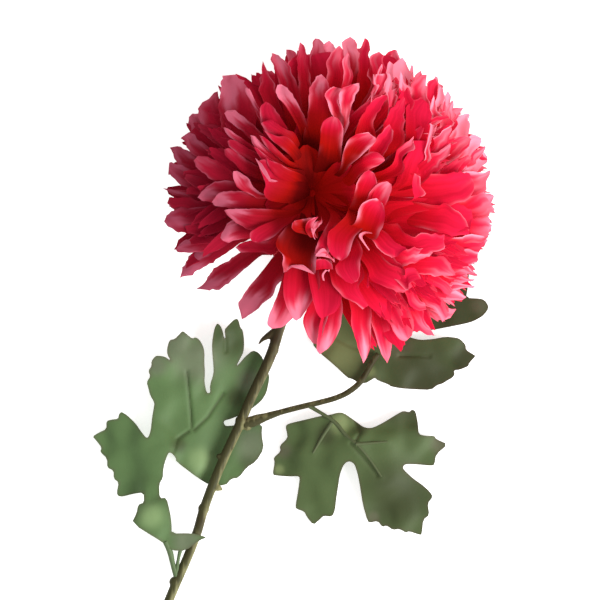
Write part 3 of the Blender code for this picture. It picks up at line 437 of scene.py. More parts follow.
     (286, 270, 290.8, 267.5, 295, 268.3, 302, 270.2, 308, 272.4, 314, 274.6), 6, 0.2, 2.0, 1.5),
    ((328, 266, 325, 270, 321.5, 275, 322.5, 280.5),
     (329, 267.5, 326.5, 271, 323.6, 275.5, 324.3, 281), 5, 0.2, 2.0, 1.5),
    ((338, 256, 334.5, 267, 338.3, 275.5, 345, 281.8, 351.3, 284),
     (360, 245, 359.8, 262, 359, 274, 357, 281), 3, 0.5, 0.5, 1.0),
    ((328, 270, 331.6, 284, 337, 291, 343, 297.3, 350, 300.6, 356, 304, 362, 309.2),
     (363, 270, 358.3, 286, 364, 299, 367.7, 305.5), 0, 0.35),
    ((287, 262, 284.3, 276, 283.3, 285, 284, 297, 287.5, 308.4, 292.5, 317.5, 296.3, 320.6),
     (318, 262, 320, 285, 314.5, 296.5, 310, 304, 305, 312, 301, 317.6), 0, 0.35, 1.6),
    ((282, 280, 277, 296, 271.7, 309, 268, 319, 267.6, 325, 272, 328.6),
     (300, 290, 296, 312, 288, 323, 281.5, 327.3), -8, 0.3, 1.6),
    ((312, 290, 303.2, 317, 304.3, 327, 307.3, 335.5, 312.4, 342.6),
     (330, 300, 325, 325, 322, 338, 317.5, 344.2), -6, 0.3, 1.35, 1.3),
    ((322, 300, 319, 325, 317, 342, 316.5, 350, 319.7, 353.9),
     (341.3, 298, 341.3, 318, 339.3, 330, 334, 340.4, 328, 348), -4, 0.35, 1.35, 1.1, 0.3, 0.8),
    ((308, 275, 312, 296, 316, 312, 321, 318.5),
     (342, 280, 341, 300, 336, 311, 329, 315), 0, 0.3, 0.3, 0.4),
    # Lower right
    ((362, 262, 370, 280, 378.5, 284.7, 390, 290.3, 402, 293),
     (385, 260, 400, 268, 410, 277, 411, 287), 2, 0.35, 0.9, 0.8),
    ((395, 282, 411, 307.5, 420, 311.6, 425.4, 309.4),
     (408, 276, 414, 290, 418, 297.7, 424, 303.3), -1, 0.3, 1.0, 0.7),
    ((362, 298, 378.5, 313.3, 388, 322, 394, 333, 400, 340, 405, 341),
     (398, 292, 410, 312, 413.3, 325, 411.3, 335.2), -2, 0.4, 1.1, 0.8, 0.5, 1.0),
    ((362, 300, 370, 320, 375.3, 336.5, 380.4, 352, 387, 363),
     (386, 300, 388, 318, 390.5, 332, 391.7, 344.2, 390, 355.5), -4, 0.35, 1.2, 0.8, 0.4, 0.9),
    ((348, 300, 350.8, 325, 355, 338, 358.6, 350.7, 363, 363),
     (368, 300, 370.5, 325, 370.5, 345.5, 366.5, 357.5), -8, 0.35, 1.35, 1.0, 0.4, 0.9),
    ((400, 305, 413, 325, 420, 331.3, 428, 334.7, 434.4, 336),
     (416, 298, 423, 318, 430, 328.5), -6, 0.3, 1.1, 0.8),
    ((366, 252, 380, 272, 392, 284, 404, 286),
     (384, 250, 398, 262, 406, 272, 410, 280), -1, 0.3, 0.6, 0.6),
    ((410, 274, 424, 282, 438, 290, 448, 296),
     (414, 262, 432, 272, 444, 281, 452, 290), -2, 0.3, 0.9, 0.7),
    ((408, 288, 420, 300, 432, 310, 442, 322),
     (420, 280, 434, 292, 444, 304, 449, 314), -4, 0.3, 1.1, 0.8),
)

# Petals that line the heart, dark with the painted shade deep under the dome, by the reach in pixels and
# the half turn of points of their edges; each second one lies a step lower
THROAT_COUNT = 11
THROAT_SHAPE = ((12, 0.42), (26, 0.42), (40, 0.32), (48, 0.05))
THROAT_LIFT = -13
THROAT_STEP = 2
THROAT_CUP = 0.2

# Ends of the toothed petals of the bloom's right edge, and of the plain ones elsewhere
TOOTHED_RIM_PX = (
    (441, 88), (452.4, 101.8), (468.5, 115.3), (469.4, 124), (474.2, 135.9), (481, 140), (484.9, 146.6),
    (487, 157), (481, 169), (489.7, 170.6), (487, 187), (494.2, 196.3), (495.2, 211), (492, 224), (491, 232),
    (488, 240), (484, 247), (478, 256), (477, 262), (477.3, 274.5), (475, 286), (463, 296), (466, 301),
    (455, 304), (452, 314), (444, 322), (463, 141), (472, 158), (474, 180), (478, 200), (476, 222),
    (470, 240), (462, 258), (450, 290), (440, 300), (455, 125), (446, 108),
)
PLAIN_RIM_PX = (
    (182, 139), (188, 124), (207, 99), (222, 84), (243, 80), (264, 70), (287, 56), (300, 50), (315, 46),
    (329, 46), (350, 43), (365, 45), (377, 58), (395, 58), (412, 72), (420, 80), (434, 330), (420, 333),
    (402, 350), (387, 358), (376, 350), (180, 250), (168, 222), (170, 204), (167, 190), (172, 165),
)

# Both kinds of rim petal: their ends, the levels that these take in turn, their form and paleness
RIMS = (
    (TOOTHED_RIM_PX, (52 * MM, 47 * MM, 41 * MM), TOOTHED, 1.1),
    (PLAIN_RIM_PX, (62 * MM, 54 * MM, 40 * MM), BLADE, 0.9),
)
RIM_LEVEL_CHANCE = (-4, 4)
RIM_ORIGIN = (-1, 2)
RIM_WIDTH_PX = (13, 24)

# Loss of paleness down the rim
RIM_FADE = 0.3
RIM_FADE_PX = (130, 200)

# Ruffles behind the rim: how many, between which azimuths, of what form and how pale
RUFFLES = ((26, (16, 62), TOOTHED, 0.9), (26, (-62, -14), TOOTHED, 0.5), (24, (138, 205), BLADE, 0.5))
RUFFLE_REACH = (54 * MM, 68 * MM)
RUFFLE_LIFT = (-7 * MM, -1 * MM)
RUFFLE_WIDTH = (5 * MM, 8.5 * MM)
RUFFLE_ORIGIN = (-2, 3)

# Narrow points between the toothed petals; the first ends of their list follow the bloom's edge
FRINGE_SPAN = 26
FRINGE_COUNT = 56
FRINGE_INSET = (-0.01, 0.06)
FRINGE_LEVELS = (40 * MM, 50 * MM)
FRINGE_WIDTH = (2.4 * MM, 4.4 * MM)
FRINGE_PALENESS = 0.8

# Petals that fill the bloom under its face, spread evenly by the golden angle
GOLDEN_ANGLE = 180 * (3 - math.sqrt(5))
FILL_COUNT = 64
FILL_REACH = (27 * MM, 64 * MM)
FILL_DROP = (13 * MM, 22 * MM)
FILL_WIDTH = 10.5 * MM
FILL_PALENESS = 0.3

# Sectors of azimuth, in degrees, where the petals under the face are left out, where they are short,
# and where the lowest make room for the leaves
OPEN_SECTOR = (197, 247)
SHORT_SECTOR = (247, 291)
SHORT_REACH = 38 * MM
LEAF_SECTOR = (282, 358)
LEAF_ROOM_Z = 20 * MM

# Layers under the face by height, reach, number and width of their petals, and the petals of the
# foot, which touch the surface
LOWER_LAYERS = (
    (32 * MM, 67 * MM, 24, 10 * MM), (25 * MM, 66 * MM, 24, 10 * MM), (15 * MM, 57 * MM, 20, 10 * MM),
)
LOWER_TURN = (-0.2, 0.2)
LOWER_REACH = (0.96, 1.0)
LOWER_PALENESS = 0.8
FOOT_AZIMUTHS = (8, 38, 68, 98, 128, 156, 186, 264, 304, 334)
FOOT_REACH = 43 * MM
FOOT_BEND = (33 * MM, -4.4 * MM)
FOOT_WIDTH = 11 * MM
FOOT_Z = 0.6 * MM

# Short petals that close the receptacle where the longer ones leave it open, row by row: the azimuths,
# and the reach and height in millimetres of the root, the bend and the end
CLOAK_ROWS = (
    ((192, 304, 11), ((17, 66), (32, 64), (30, 45))),
    ((198, 304, 11), ((20, 51), (33, 47), (29.5, 29))),
    ((193, 246, 11), ((19, 38), (30, 35), (28, 17))),
)
CLOAK_WIDTH = (8 * MM, 12.5 * MM)
CLOAK_TURN = (-4, 4)
CLOAK_DROP = (-5, 5)

# Calyx: its neck and reach, its gap and walls under the core, and its cup by height and radius in mm
CALYX_NECK_RADIUS = 3.4 * MM
CALYX_REACH = 16.5 * MM
SEAT_GAP = 0.3 * MM
CALYX_WALL = (5.4 * MM, 1.1 * MM)
CALYX_CUP = ((14.4, 2.8), (14.9, 4.6), (16.2, 8.0), (18.2, 11.0), (20.4, 12.6))
CALYX_SIDES = 32

# Bracts: the shift of each row, as a share of a bract, its reach and its inset
BRACT_ROWS = ((0.0, 13.5 * MM, 0.0), (0.5, 17.0 * MM, 0.7 * MM))
BRACT_COUNT = 12
BRACT_START = 0.7 * CALYX_NECK_RADIUS
BRACT_OVERLAP = 1.25
BRACT_CUP = 0.5 * MM
BRACT_RIM = 0.25

# Main stem: plan x, y in pixels, height and radius in millimetres, from the calyx to the cut end
STEM_PATH = (
    (324, 205, 14.1, 2.5), (323.8, 205.6, 12.2, 2.5), (320, 216, 9.3, 2.5), (311, 240, 8.6, 2.45),
    (297, 278, 8.3, 2.4), (279, 329, 8.0, 2.4), (272, 352, 7.8, 2.35), (250, 400, 7.2, 2.2),
    (238, 428, 7.0, 2.15), (223, 460, 6.7, 2.1), (203, 511, 6.2, 2.1), (196, 535, 6.0, 2.1),
    (169, 600, 5.2, 2.05), (147, 655, 4.2, 2.05), (128, 715, 3.0, 2.0), (113, 781, 2.02, 2.0),
)
STEM_SIDES = 16

# The hooked spur, the knots and the side branch, in the same measures
SPUR_PATH = ((275, 331, 8.0, 1.7), (268, 336, 8.2, 1.5), (262, 340, 8.2, 0.9), (258, 345, 8.0, 0.3))
SPUR_SIDES = 10
STEM_KNOTS = (
    (274, 351, 7.8, 2.0), (218.5, 457.5, 7.0, 1.3), (217.5, 489, 6.4, 1.5), (220.5, 490.5, 6.4, 0.8),
    (203, 510, 6.2, 2.5), (174, 584, 5.5, 2.5), (241, 422, 7.1, 2.8), (247, 427, 7.0, 2.0),
)
BRANCH_PATH = (
    (243, 425, 7.2, 2.3), (250, 423, 7.2, 2.5), (257, 420.5, 7.3, 2.4), (266, 417.5, 7.5, 1.8),
    (280, 413, 7.8, 1.35), (303, 407, 8.2, 1.3), (320, 403, 8.3, 1.3), (340, 397, 8.3, 1.3),
    (351, 391, 8.2, 1.35), (361, 382, 8.0, 1.35), (372, 364, 8.0, 1.3), (379, 354, 8.0, 1.3),
)
BRANCH_SIDES = 12

# Passes that smooth a stem's skin, and the steps between two points of a tube's path
SKIN_PASSES = 4
TUBE_STEPS = 6

# A leaf: its outline, its heights in millimetres, the ribs of its back, its petioles, its creases and its
# patches of other tint, all at plan pixels; its tone is how olive it is, and a patch has a reach in pixels
Leaf = namedtuple("Leaf", "node tone outline heights ribs petioles creases patches")
LEFT_LEAF = Leaf(
    "leaf_left", 0.0,
    ((142.6, 493.6), (131, 495.5), (121.4, 498.1), (116.8, 497.6), (115.3, 494.2), (117.5, 483.9),
     (112.3, 479.7), (112.3, 471.8), (105.8, 468.8), (105.8, 459.7), (98.6, 453), (100.2, 448.8),
     (94.7, 441.5), (90.9, 437.5), (97.1, 433.6), (105, 430), (105, 421.8), (110.5, 420.3), (116.8, 419.7),
     (117.7, 414.8), (120.2, 412.4), (126.2, 416.1), (134.7, 424.5), (140.2, 432.4), (145, 438.5),
     (147.4, 438.2), (149.8, 431.2), (151.1, 417.9), (152.9, 408.2), (153.5, 403.3), (149.2, 396),
     (147.4, 388.8), (145.6, 382.7), (149.5, 376.7), (147.4, 371.2), (150.7, 366.4), (150.5, 361.5),
     (154.1, 356.7), (157.1, 355.8), (164.4, 357), (169.8, 360.9), (166.5, 354.8), (166.2, 348.8),
     (168.6, 340.3), (174.1, 339.1), (178.3, 334.8), (182, 330.8), (186.8, 334.8), (191.7, 338.8),
     (194.7, 337.3), (198.9, 339.7), (202.6, 346.4), (204, 352.4), (203.8, 363.3), (204.4, 373),
     (203.8, 382.7), (206, 393.6), (209.6, 393.6), (209.2, 385.8), (212.9, 374.2), (212.9, 367),
     (211.7, 353.6), (211.3, 343.9), (213.5, 329.4), (216.5, 323.1), (219.5, 325.2), (222, 330),
     (223.8, 338.5), (225, 338.1), (223.8, 330), (227.4, 325.8), (233.5, 319.7), (236.5, 318.7),
     (238.3, 320.9), (239.9, 327.6), (242.6, 330.6), (244, 342.7), (243.2, 352.4), (240.1, 358.5),
     (236.3, 365.8), (237.7, 365.2), (245, 356.7), (252.3, 350.6), (258.3, 353), (262.6, 358.5),
     (269.2, 376), (268.6, 382.7), (266.2, 393.6), (260.8, 402.1), (249.8, 410.6), (236.5, 417.3),
     (230.5, 419.7), (223.8, 421.5), (223.2, 423.9), (225, 427), (232.9, 426.4), (249, 424),
     (262.2, 425.2), (261.4, 436.1), (263.8, 449.4), (255.9, 462.7), (246.2, 468.8), (238.4, 479.1),
     (230.5, 480.3), (225, 487), (208.6, 486.4), (197.8, 479.7), (175.3, 462.7), (175, 459.1),
     (171.7, 454.8), (168.6, 453.3), (166.8, 455.5), (163.8, 463.9), (162.4, 471.2), (162, 479.1),
     (158.3, 485.2), (158.8, 499.4), (165.8, 498.8), (169.6, 514.6), (170.9, 525.4), (170.9, 534.9),
     (191.3, 534.6), (200, 536.8), (206.5, 538.9), (198.9, 541.7), (184.8, 552.5), (170.7, 552),
     (163.7, 544.9), (130.6, 524.5), (135.5, 514.6), (137.1, 505.9), (143.1, 503.7)),
    ((250, 400, 3.0), (238, 428, 2.9), (223, 460, 2.8), (212, 484, 2.6), (262, 430, 2.8), (252, 462, 1.4),
     (236, 476, 2.0), (262, 375, 2.6), (256, 355, 3.2), (240, 345, 5.0), (236, 322, 7.0), (218, 330, 8.5),
     (228, 400, 3.4), (208, 392, 6.0), (195, 345, 12.0), (180, 335, 14.0), (190, 380, 9.0),
     (158, 360, 12.5), (155, 400, 9.0), (180, 425, 6.0), (150, 440, 9.5), (120, 430, 6.0), (98, 440, 3.0),
     (120, 470, 5.0), (125, 495, 3.5), (160, 455, 10.0), (190, 465, 6.0), (150, 495, 10.0),
     (155, 510, 12.0), (150, 530, 11.5), (172, 545, 9.6), (190, 543, 9.0), (207, 539, 8.8)),
    (),
    (((164.5, 543, 9.4, 1.2), (169, 553, 8.4, 1.3), (172, 566, 7.0, 1.1), (175.5, 578, 6.0, 1.3)),
     ((180, 550, 8.9, 0.9), (177.5, 561, 7.6, 0.7), (175.5, 575, 6.2, 1.0))),
    (((193, 431), (207, 418), (223, 394)), ((191, 429), (189, 400), (186, 372)),
     ((173, 453), (176, 440), (188, 432)), ((225, 338), (225, 352))),
    ((150, 517, 15, "pale"), (185, 543, 16, "dusky"), (200, 462, 15, "pale"), (178, 446, 9, "deep"),
     (175, 345, 24, "dusky"), (196, 360, 26, "dusky"), (155, 365, 14, "dusky"), (250, 382, 14, "dusky"),
     (230, 340, 26, "deep"), (236, 398, 12, "deep"), (252, 445, 20, "dusky"), (250, 462, 14, "deep")))
LOWER_LEAF = Leaf(
    "leaf_lower_right", 0.7,
    ((320.2, 416.8), (305, 420.5), (291.1, 423.8), (286.6, 425.5), (285.4, 428), (286.8, 433.8),
     (287.4, 439.2), (279.3, 446.9), (280.5, 452.6), (273.2, 459), (274.5, 463.5), (272.5, 475),
     (274.1, 476.8), (289.2, 478), (297.1, 477.4), (299.9, 478.6), (298.3, 490.8), (295.3, 508.3),
     (296.3, 510.4), (304.4, 513.2), (306.8, 518.6), (313.5, 526.9), (320.1, 521.1), (323.8, 517.4),
     (332.3, 518.4), (335.3, 512), (336.5, 500.5), (338.3, 488.3), (340.1, 476.2), (343.2, 467.1),
     (346.8, 463.1), (350.4, 462.4), (354.7, 465), (357.7, 473.8), (360.1, 485.9), (363.2, 505.9),
     (368, 522.9), (370.4, 524.4), (378.3, 522.5), (382.8, 528.7), (387.4, 527.1), (393.4, 531.7),
     (400.1, 530.5), (406.8, 534.6), (409.8, 532.9), (421.3, 537), (422.8, 535.6), (424.3, 521),
     (430.4, 516.8), (428.6, 504.7), (434, 498.3), (431, 493.2), (423.7, 486.5), (414, 479.8),
     (404.4, 470.8), (403.7, 467.7), (406.2, 465.3), (416.5, 465.5), (433.4, 467.1), (435.6, 465.3),
     (437.1, 455.6), (449.2, 445.3), (437.1, 440.1), (435.6, 436.8), (426.2, 436.8), (419.5, 435),
     (418.9, 424.1), (416.5, 412), (412.8, 410.2), (409.8, 413.2), (404.4, 411.7), (399.5, 413.8),
     (383.8, 423.5), (374.1, 428.3), (368.6, 428.9), (363.2, 427.5), (354.7, 421.1), (343.8, 413.4),
     (337.7, 413.4), (330.5, 415.5)),
    ((318, 420, 6.5), (336, 424, 7.2), (357, 444, 9.0), (381, 476, 8.0), (405, 515, 4.0), (422, 534, 1.6),
     (430, 505, 3.0), (385, 520, 2.4), (312, 453, 6.0), (290, 436, 3.2), (276, 465, 1.2), (300, 500, 2.6),
     (313, 524, 1.4), (332, 500, 4.0), (345, 465, 8.0), (384, 443, 8.4), (415, 440, 5.2), (445, 446, 1.8),
     (415, 415, 2.6), (390, 422, 5.0), (350, 420, 6.0), (432, 462, 3.0)),
    (((330, 419), (337, 425), (346, 436), (357, 445), (369, 459), (382, 478)),
     ((332, 423), (323, 437), (313, 454)), ((356, 445), (370, 444), (388, 442.5))),
    (((307.5, 405.3, 8.3, 1.1), (313, 408.8, 8.3, 0.9), (321, 413.6, 8.4, 0.8), (331, 419.6, 8.5, 0.75)),),
    # The lower leaf's second crease runs beside its main rib, where it darkens a painted shadow
    (((355, 421), (360, 434), (356, 442)), ((351, 444.5), (358.5, 452.5), (367, 462.5), (377.5, 476.5))),
    ((341, 424, 12, "pale"), (279, 471, 6, "pale"), (361, 430, 8, "deep"), (326, 436, 12, "deep"),
     (399, 497, 42, "deep"), (374, 519, 7, "dusky"), (440, 446, 10, "dusky"), (408, 405, 34, "deep"),
     (284, 452, 9, "dusky")))
UPPER_LEAF = Leaf(
    "leaf_upper_right", 0.95,
    ((358, 383), (354.8, 380.8), (351, 378.9), (348.5, 378.9), (334.4, 365.5), (319.1, 352.7),
     (312, 344), (316, 328), (330, 308), (345, 296), (360, 300), (385, 324), (402, 334), (412.2, 338),
     (421.2, 340.2),
     (433.9, 339.3), (446.7, 336.8), (458.2, 338), (462, 339.9), (466.8, 345.1), (467.1, 350.2),
     (475.4, 355.3), (477, 356.5), (470.3, 363.5), (469.6, 366.7), (460.7, 370.3), (455, 370.8),
     (455.9, 375), (453.7, 378.2), (448, 381.4), (442.9, 384.6), (438.4, 385.6), (432, 390.7),
     (414.8, 390), (402, 389.1), (391.2, 387.1), (389.3, 385.2), (377.8, 380.8), (375.3, 378.2),
     (371.4, 380.8), (366, 384)),
    ((351, 388, 5.2), (361, 382, 5.4), (372, 364, 5.5), (379, 354, 5.5), (388, 340, 5.8), (340, 360, 5.0),
     (318, 345, 3.6), (340, 320, 4.2), (345, 298, 4.6), (375, 325, 5.2), (420, 345, 7.4), (448, 342, 7.6),
     (470, 358, 5.6),
     (448, 378, 3.4), (420, 388, 3.2), (400, 370, 5.6), (388, 384, 4.2)),
    (),
    (),
    (((400, 356), (430, 357)), ((364, 352), (346, 344), (332, 336))),
    ((340, 355, 26, "pale"), (371, 372, 6, "pale"), (425, 378, 44, "deep"), (400, 345, 16, "dusky"),
     (465, 360, 20, "deep")))
BEHIND_LEAF = Leaf(
    "leaf_behind_bloom", 0.9,
    ((376, 356), (388, 346), (408, 332), (432.7, 330.4), (446.7, 327.8), (465.8, 324), (474.7, 321.5),
     (483.7, 316.4), (488.8, 310.6), (489.8, 306.1), (486.9, 301), (482.4, 298.5), (467.1, 297.9),
     (469, 287.7), (471, 262), (462, 250), (448, 252), (440, 266), (434, 286), (412, 303), (390, 324),
     (370, 350)),
    ((373, 355, 3.9), (380, 348, 3.9), (392, 335, 3.7), (410, 320, 3.6), (435, 310, 4.6), (462, 312, 6.4),
     (488, 308, 7.4), (452, 285, 6.4), (470, 275, 8.0), (460, 253, 7.6)),
    (),
    (),
    (),
    ((455, 310, 40, "deep"), (480, 306, 10, "dusky")))
# Leaf blades: their grid, the cut of an outline's corners, and how softly heights blend
LEAF_GRID_PX = 1.5
CORNER_SHARE = 0.22
CUTTER_REACH = 10 * MM
ANCHOR_SOFTNESS_PX = 9
LEAF_SMOOTHING = math.radians(45)

# Creases, swellings along ribs and the worn rim, by their reach in pixels
CREASE_PX = 1.8
# How much of the deep colour a crease takes, as painted shade in the fold
CREASE_PAINTED_SHADE = 0.7
SWELLING = 0.25 * MM
SWELLING_PX = 3.5
WORN_RIM_PX = 1.8

# Tints of a blade's patches, in the order in which its material reads them; the deep patches are partly the
# blade's own darker tint and partly painted shade beside the stem, under the bloom and in folds
TINTS = ("pale", "deep", "dusky")

# Ribs and petioles
RIB_RISE = 0.35 * MM
RIB_RADIUS = 1.0 * MM
RIB_TAPER = 0.5
RIB_TINTS = (0.15, 0.35, 0.5)
RIB_SIDES = 12

# Patterns by their real sizes: blotches and woven grain of a leaf, streaks and bark patches of a stem.
# A petal's dozen veins lie about 1 mm apart, and differ along it and from petal to petal
LEAF_BLOTCH = 14.286 * MM
LEAF_GRAIN = 1.111 * MM
STEM_STREAK = (1.923 * MM, 45.45 * MM)
BARK_PATCH = 16.667 * MM
STEM_TURN = math.radians(-23)
PETAL_VEINS = (12.0, 0.6, 40.0)

# Where the stem turns brown towards the bloom
BROWN_FROM_Y = -30 * MM
BROWN_TO_Y = 40 * MM

# Camera and key light: the height that the view's width is measured at, and the light's aim and place
FRAMED_Z = 40 * MM
SENSOR_MM = 36.0
FAR_END = 100.0
AIM_Z = 50 * MM
KEY_PLACE = (0.95, -0.5, 0.7)
KEY_SIZE = 0.9

# Sockets of a node that mixes colours; a map range's are its value, the two ends before and the two after
FACTOR, FIRST, SECOND, MIXED = 0, 6, 7, 2
WHITE = (1.0, 1.0, 1.0, 1.0)


def linear(code):
    """The linear colour of an sRGB hex value."""
    levels = [int(code[index:index + 2], 16) / 255 for index in (1, 3, 5)]
    return tuple(level / 12.92 if level <= 0.04045 else ((level + 0.055) / 1.055) ** 2.4 for level in levels)


def colour_setting(name, description, code):
    """A colour that a user can change, given as an sRGB hex value."""
    return FloatVectorProperty(name=name, description=description, subtype="COLOR", size=3,
                               min=0.0, max=1.0, default=linear(code))


class PetalSettings(bpy.types.PropertyGroup):
    """Sizes and colours of the petals."""
    thickness: FloatProperty(name="Thickness", description="Thickness of a petal", unit="LENGTH",
                             default=0.45 * MM)
    # The glow is painted light: the petals give light of their own colour, which stands in for the light that
    # comes through them
    glow: FloatProperty(name="Glow", description="Light that comes through the thin petals", default=0.08)
    heart: colour_setting("Heart", "Colour at a petal's root", "#A80A08")
    # The shadow and hollow colours are painted shade, in folds and deep between the petals
    shadow: colour_setting("Shadow", "Colour of the folds that turn from the light", "#640502")
    hollow: colour_setting("Hollow", "Colour deep between the petals", "#A00C04")
    body: colour_setting("Body", "Colour of the middle of a petal", "#C00A20")
    bright: colour_setting("Upper part", "Colour towards a petal's end", "#D6173C")
    rim: colour_setting("Rim", "Colour of a petal's thin edge and end", "#FF90A6")
    # The rim and petal colours of the dull side are partly a duller hue and partly painted shade on the
    # bloom's left side, away from the key light
    shaded_side_rim: colour_setting("Dusty rim", "Colour of a petal's edge on the bloom's dull side", "#B8607A")
    dusk: colour_setting("Shaded side", "Colour of the petals on the dull side of the bloom", "#841126")


class LeafSettings(bpy.types.PropertyGroup):
    """Sizes and colours of the leaves and bracts."""
    thickness: FloatProperty(name="Thickness", description="Thickness of a leaf blade", unit="LENGTH",
                             default=0.6 * MM)
    crease: FloatProperty(name="Crease", description="Depth of the folds pressed into a blade", unit="LENGTH",
                          default=0.7 * MM)
    green: colour_setting("Blade", "Colour of most of a blade", "#536E40")
    pale: colour_setting("Pale", "Colour where the paler underside shows", "#809A66")
    # The deep colour also paints the shade in the creases and in some of the patches
    deep: colour_setting("Deep", "Colour of the darker patches", "#3C4A26")
    dusky: colour_setting("Dusky", "Colour of the rubbed, greyer patches", "#626C52")
    worn: colour_setting("Worn", "Colour of the brownish edges", "#54493A")
    aged: colour_setting("Aged", "What the colours are multiplied by on an olive leaf", "#D6BDB4")


class StemSettings(bpy.types.PropertyGroup):
    """Sizes and colours of the stem and the branch."""
    grain: FloatProperty(name="Skin", description="Side of the small faces that the skin is made of",
                         unit="LENGTH", default=0.42 * MM)
    olive: colour_setting("Olive", "Colour of most of the skin", "#403F24")
    # The pale colour also paints a highlight along one side of the stem
    pale: colour_setting("Pale ridges", "Colour of the paler lengthwise streaks", "#807D56")
    brown: colour_setting("Brown", "Colour of the skin near the bloom and at knots", "#342617")


class StageSettings(bpy.types.PropertyGroup):
    """The floor, the lights and the camera."""
    floor_size: FloatProperty(name="Floor", description="Side of the square floor", unit="LENGTH",
                              default=60.0)
    distance: FloatProperty(name="Camera height", description="Height of the camera over the floor",
                            unit="LENGTH", default=5.0)
    key_power: FloatProperty(name="Key light", description="Power of the large light at the right",
                             unit="POWER", default=22.0)
    sky_strength: FloatProperty(name="Soft light", description="Strength of the even light from all round",
                                default=0.68)
    floor_glow: FloatProperty(name="Floor glow", description="Light that the pale floor gives by itself",
                              default=0.62)
    floor_colour: colour_setting("Floor colour", "Colour of the plain floor", "#F4F3F2")


def place(x_px, y_px, z=0.0):
    """The point in metres over a pixel of the straight view."""
    return Vector(((x_px - MIDDLE_PX[0]) * PIXEL, (MIDDLE_PX[1] - y_px) * PIXEL, z))


def to_view(points):
    """The pixels of the straight view under points given in metres."""
    return points[:, 0] / PIXEL + MIDDLE_PX[0], MIDDLE_PX[1] - points[:, 1] / PIXEL


BLOOM_AXIS = place(*BLOOM_AXIS_PX)
HEART = place(*HEART_PX)
CORE_CENTRE = BLOOM_AXIS + Vector((0, 0, CORE_Z))


def smooth(low, high, values):
    """Rises smoothly from 0 at low to 1 at high."""
    share = np.clip((values - low) / (high - low), 0.0, 1.0)
    return share * share * (3 - 2 * share)


def wave(along, across, turns, phase):
    """A wave over a petal that turns so much along and across it."""
    return np.sin(along * turns[0] + across * turns[1] + phase)


def unit(rows):
    """Each row as a unit vector."""
    return rows / np.linalg.norm(rows, axis=-1, keepdims=True)


def interpolate(spots, stations, rows):
    """The rows' values at spots between their stations."""
    return np.column_stack([np.interp(spots, stations, column) for column in rows.T])


def deselect_all():
    """Leaves nothing selected, so that an operator acts only on what is picked for it."""
    for thing in bpy.context.selected_objects:
        thing.select_set(False)


def pick(thing):
    """Makes an object the one that the operators act on."""
    deselect_all()
    thing.select_set(True)
    bpy.context.view_layer.objects.active = thing


def apply_all(thing):
    """Applies every modifier of an object."""
    pick(thing)
    for modifier in list(thing.modifiers):
        bpy.ops.object.modifier_apply(modifier=modifier.name)


def join(name, things):
    """Joins objects as one piece, named anew."""
    pick(things[0])
    for thing in things:
        thing.select_set(True)
    bpy.ops.object.join()
    bpy.context.object.name = name
    return bpy.context.object


def copy_of(thing):
    """A copy of an object with its own mesh."""
    copy = bpy.data.objects.new(thing.name, thing.data.copy())
    bpy.context.scene.collection.objects.link(copy)
    return copy


def read_points(mesh):
    """A mesh's points as rows of x, y, z."""
    points = np.empty(len(mesh.vertices) * 3)
    mesh.vertices.foreach_get("co", points)
    return points.reshape(-1, 3)


def mark(mesh, name, values):
    """Stores a value or a vector at every point of a mesh, for its material to read."""
    values = np.array(values, dtype=float)
    flat = values.ndim == 1
    store = mesh.attributes.new(name, "FLOAT" if flat else "FLOAT_VECTOR", "POINT")
    store.data.foreach_set("value" if flat else "vector", values.ravel())


def thicken(thing, thickness):
    """Gives a flat blade its thickness, half of it to each side."""
    wall = thing.modifiers.new("Thickness", "SOLIDIFY")
    wall.thickness = thickness
    wall.offset = 0
    apply_all(thing)


def model_flat_blade(grid, thickness, material):
    """A flat petal or bract to copy: a thickened grid from -1 to 1 both ways, with its own UV map."""
    deselect_all()
    bpy.ops.mesh.primitive_grid_add(x_subdivisions=grid[0], y_subdivisions=grid[1], size=2)
    flat = bpy.context.object
    thicken(flat, thickness)
    bpy.ops.object.shade_smooth_by_angle(angle=PETAL_SMOOTHING)
    flat.data.materials.append(material)
    return flat


def settle(piece, slot, *nodes):
    """Hands a piece to the frame: it rides on the one body and stands for its nodes; its slot is not used."""
    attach(piece, "root")
    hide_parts(*nodes)


def add_node(tree, kind, settings=(), inputs=()):
    """Adds one shader node with its settings; an input is given a value or linked to a socket."""
    node = tree.nodes.new("ShaderNode" + kind)
    for name, value in dict(settings).items():
        setattr(node, name, value)
    for name, value in dict(inputs).items():
        if isinstance(value, bpy.types.NodeSocket):
            tree.links.new(value, node.inputs[name])
        else:
            node.inputs[name].default_value = value
    return node


def new_material(name):
    """An empty node material and its tree."""
    material = bpy.data.materials.new(name)
    material.use_nodes = True
    material.node_tree.nodes.clear()
    return material, material.node_tree


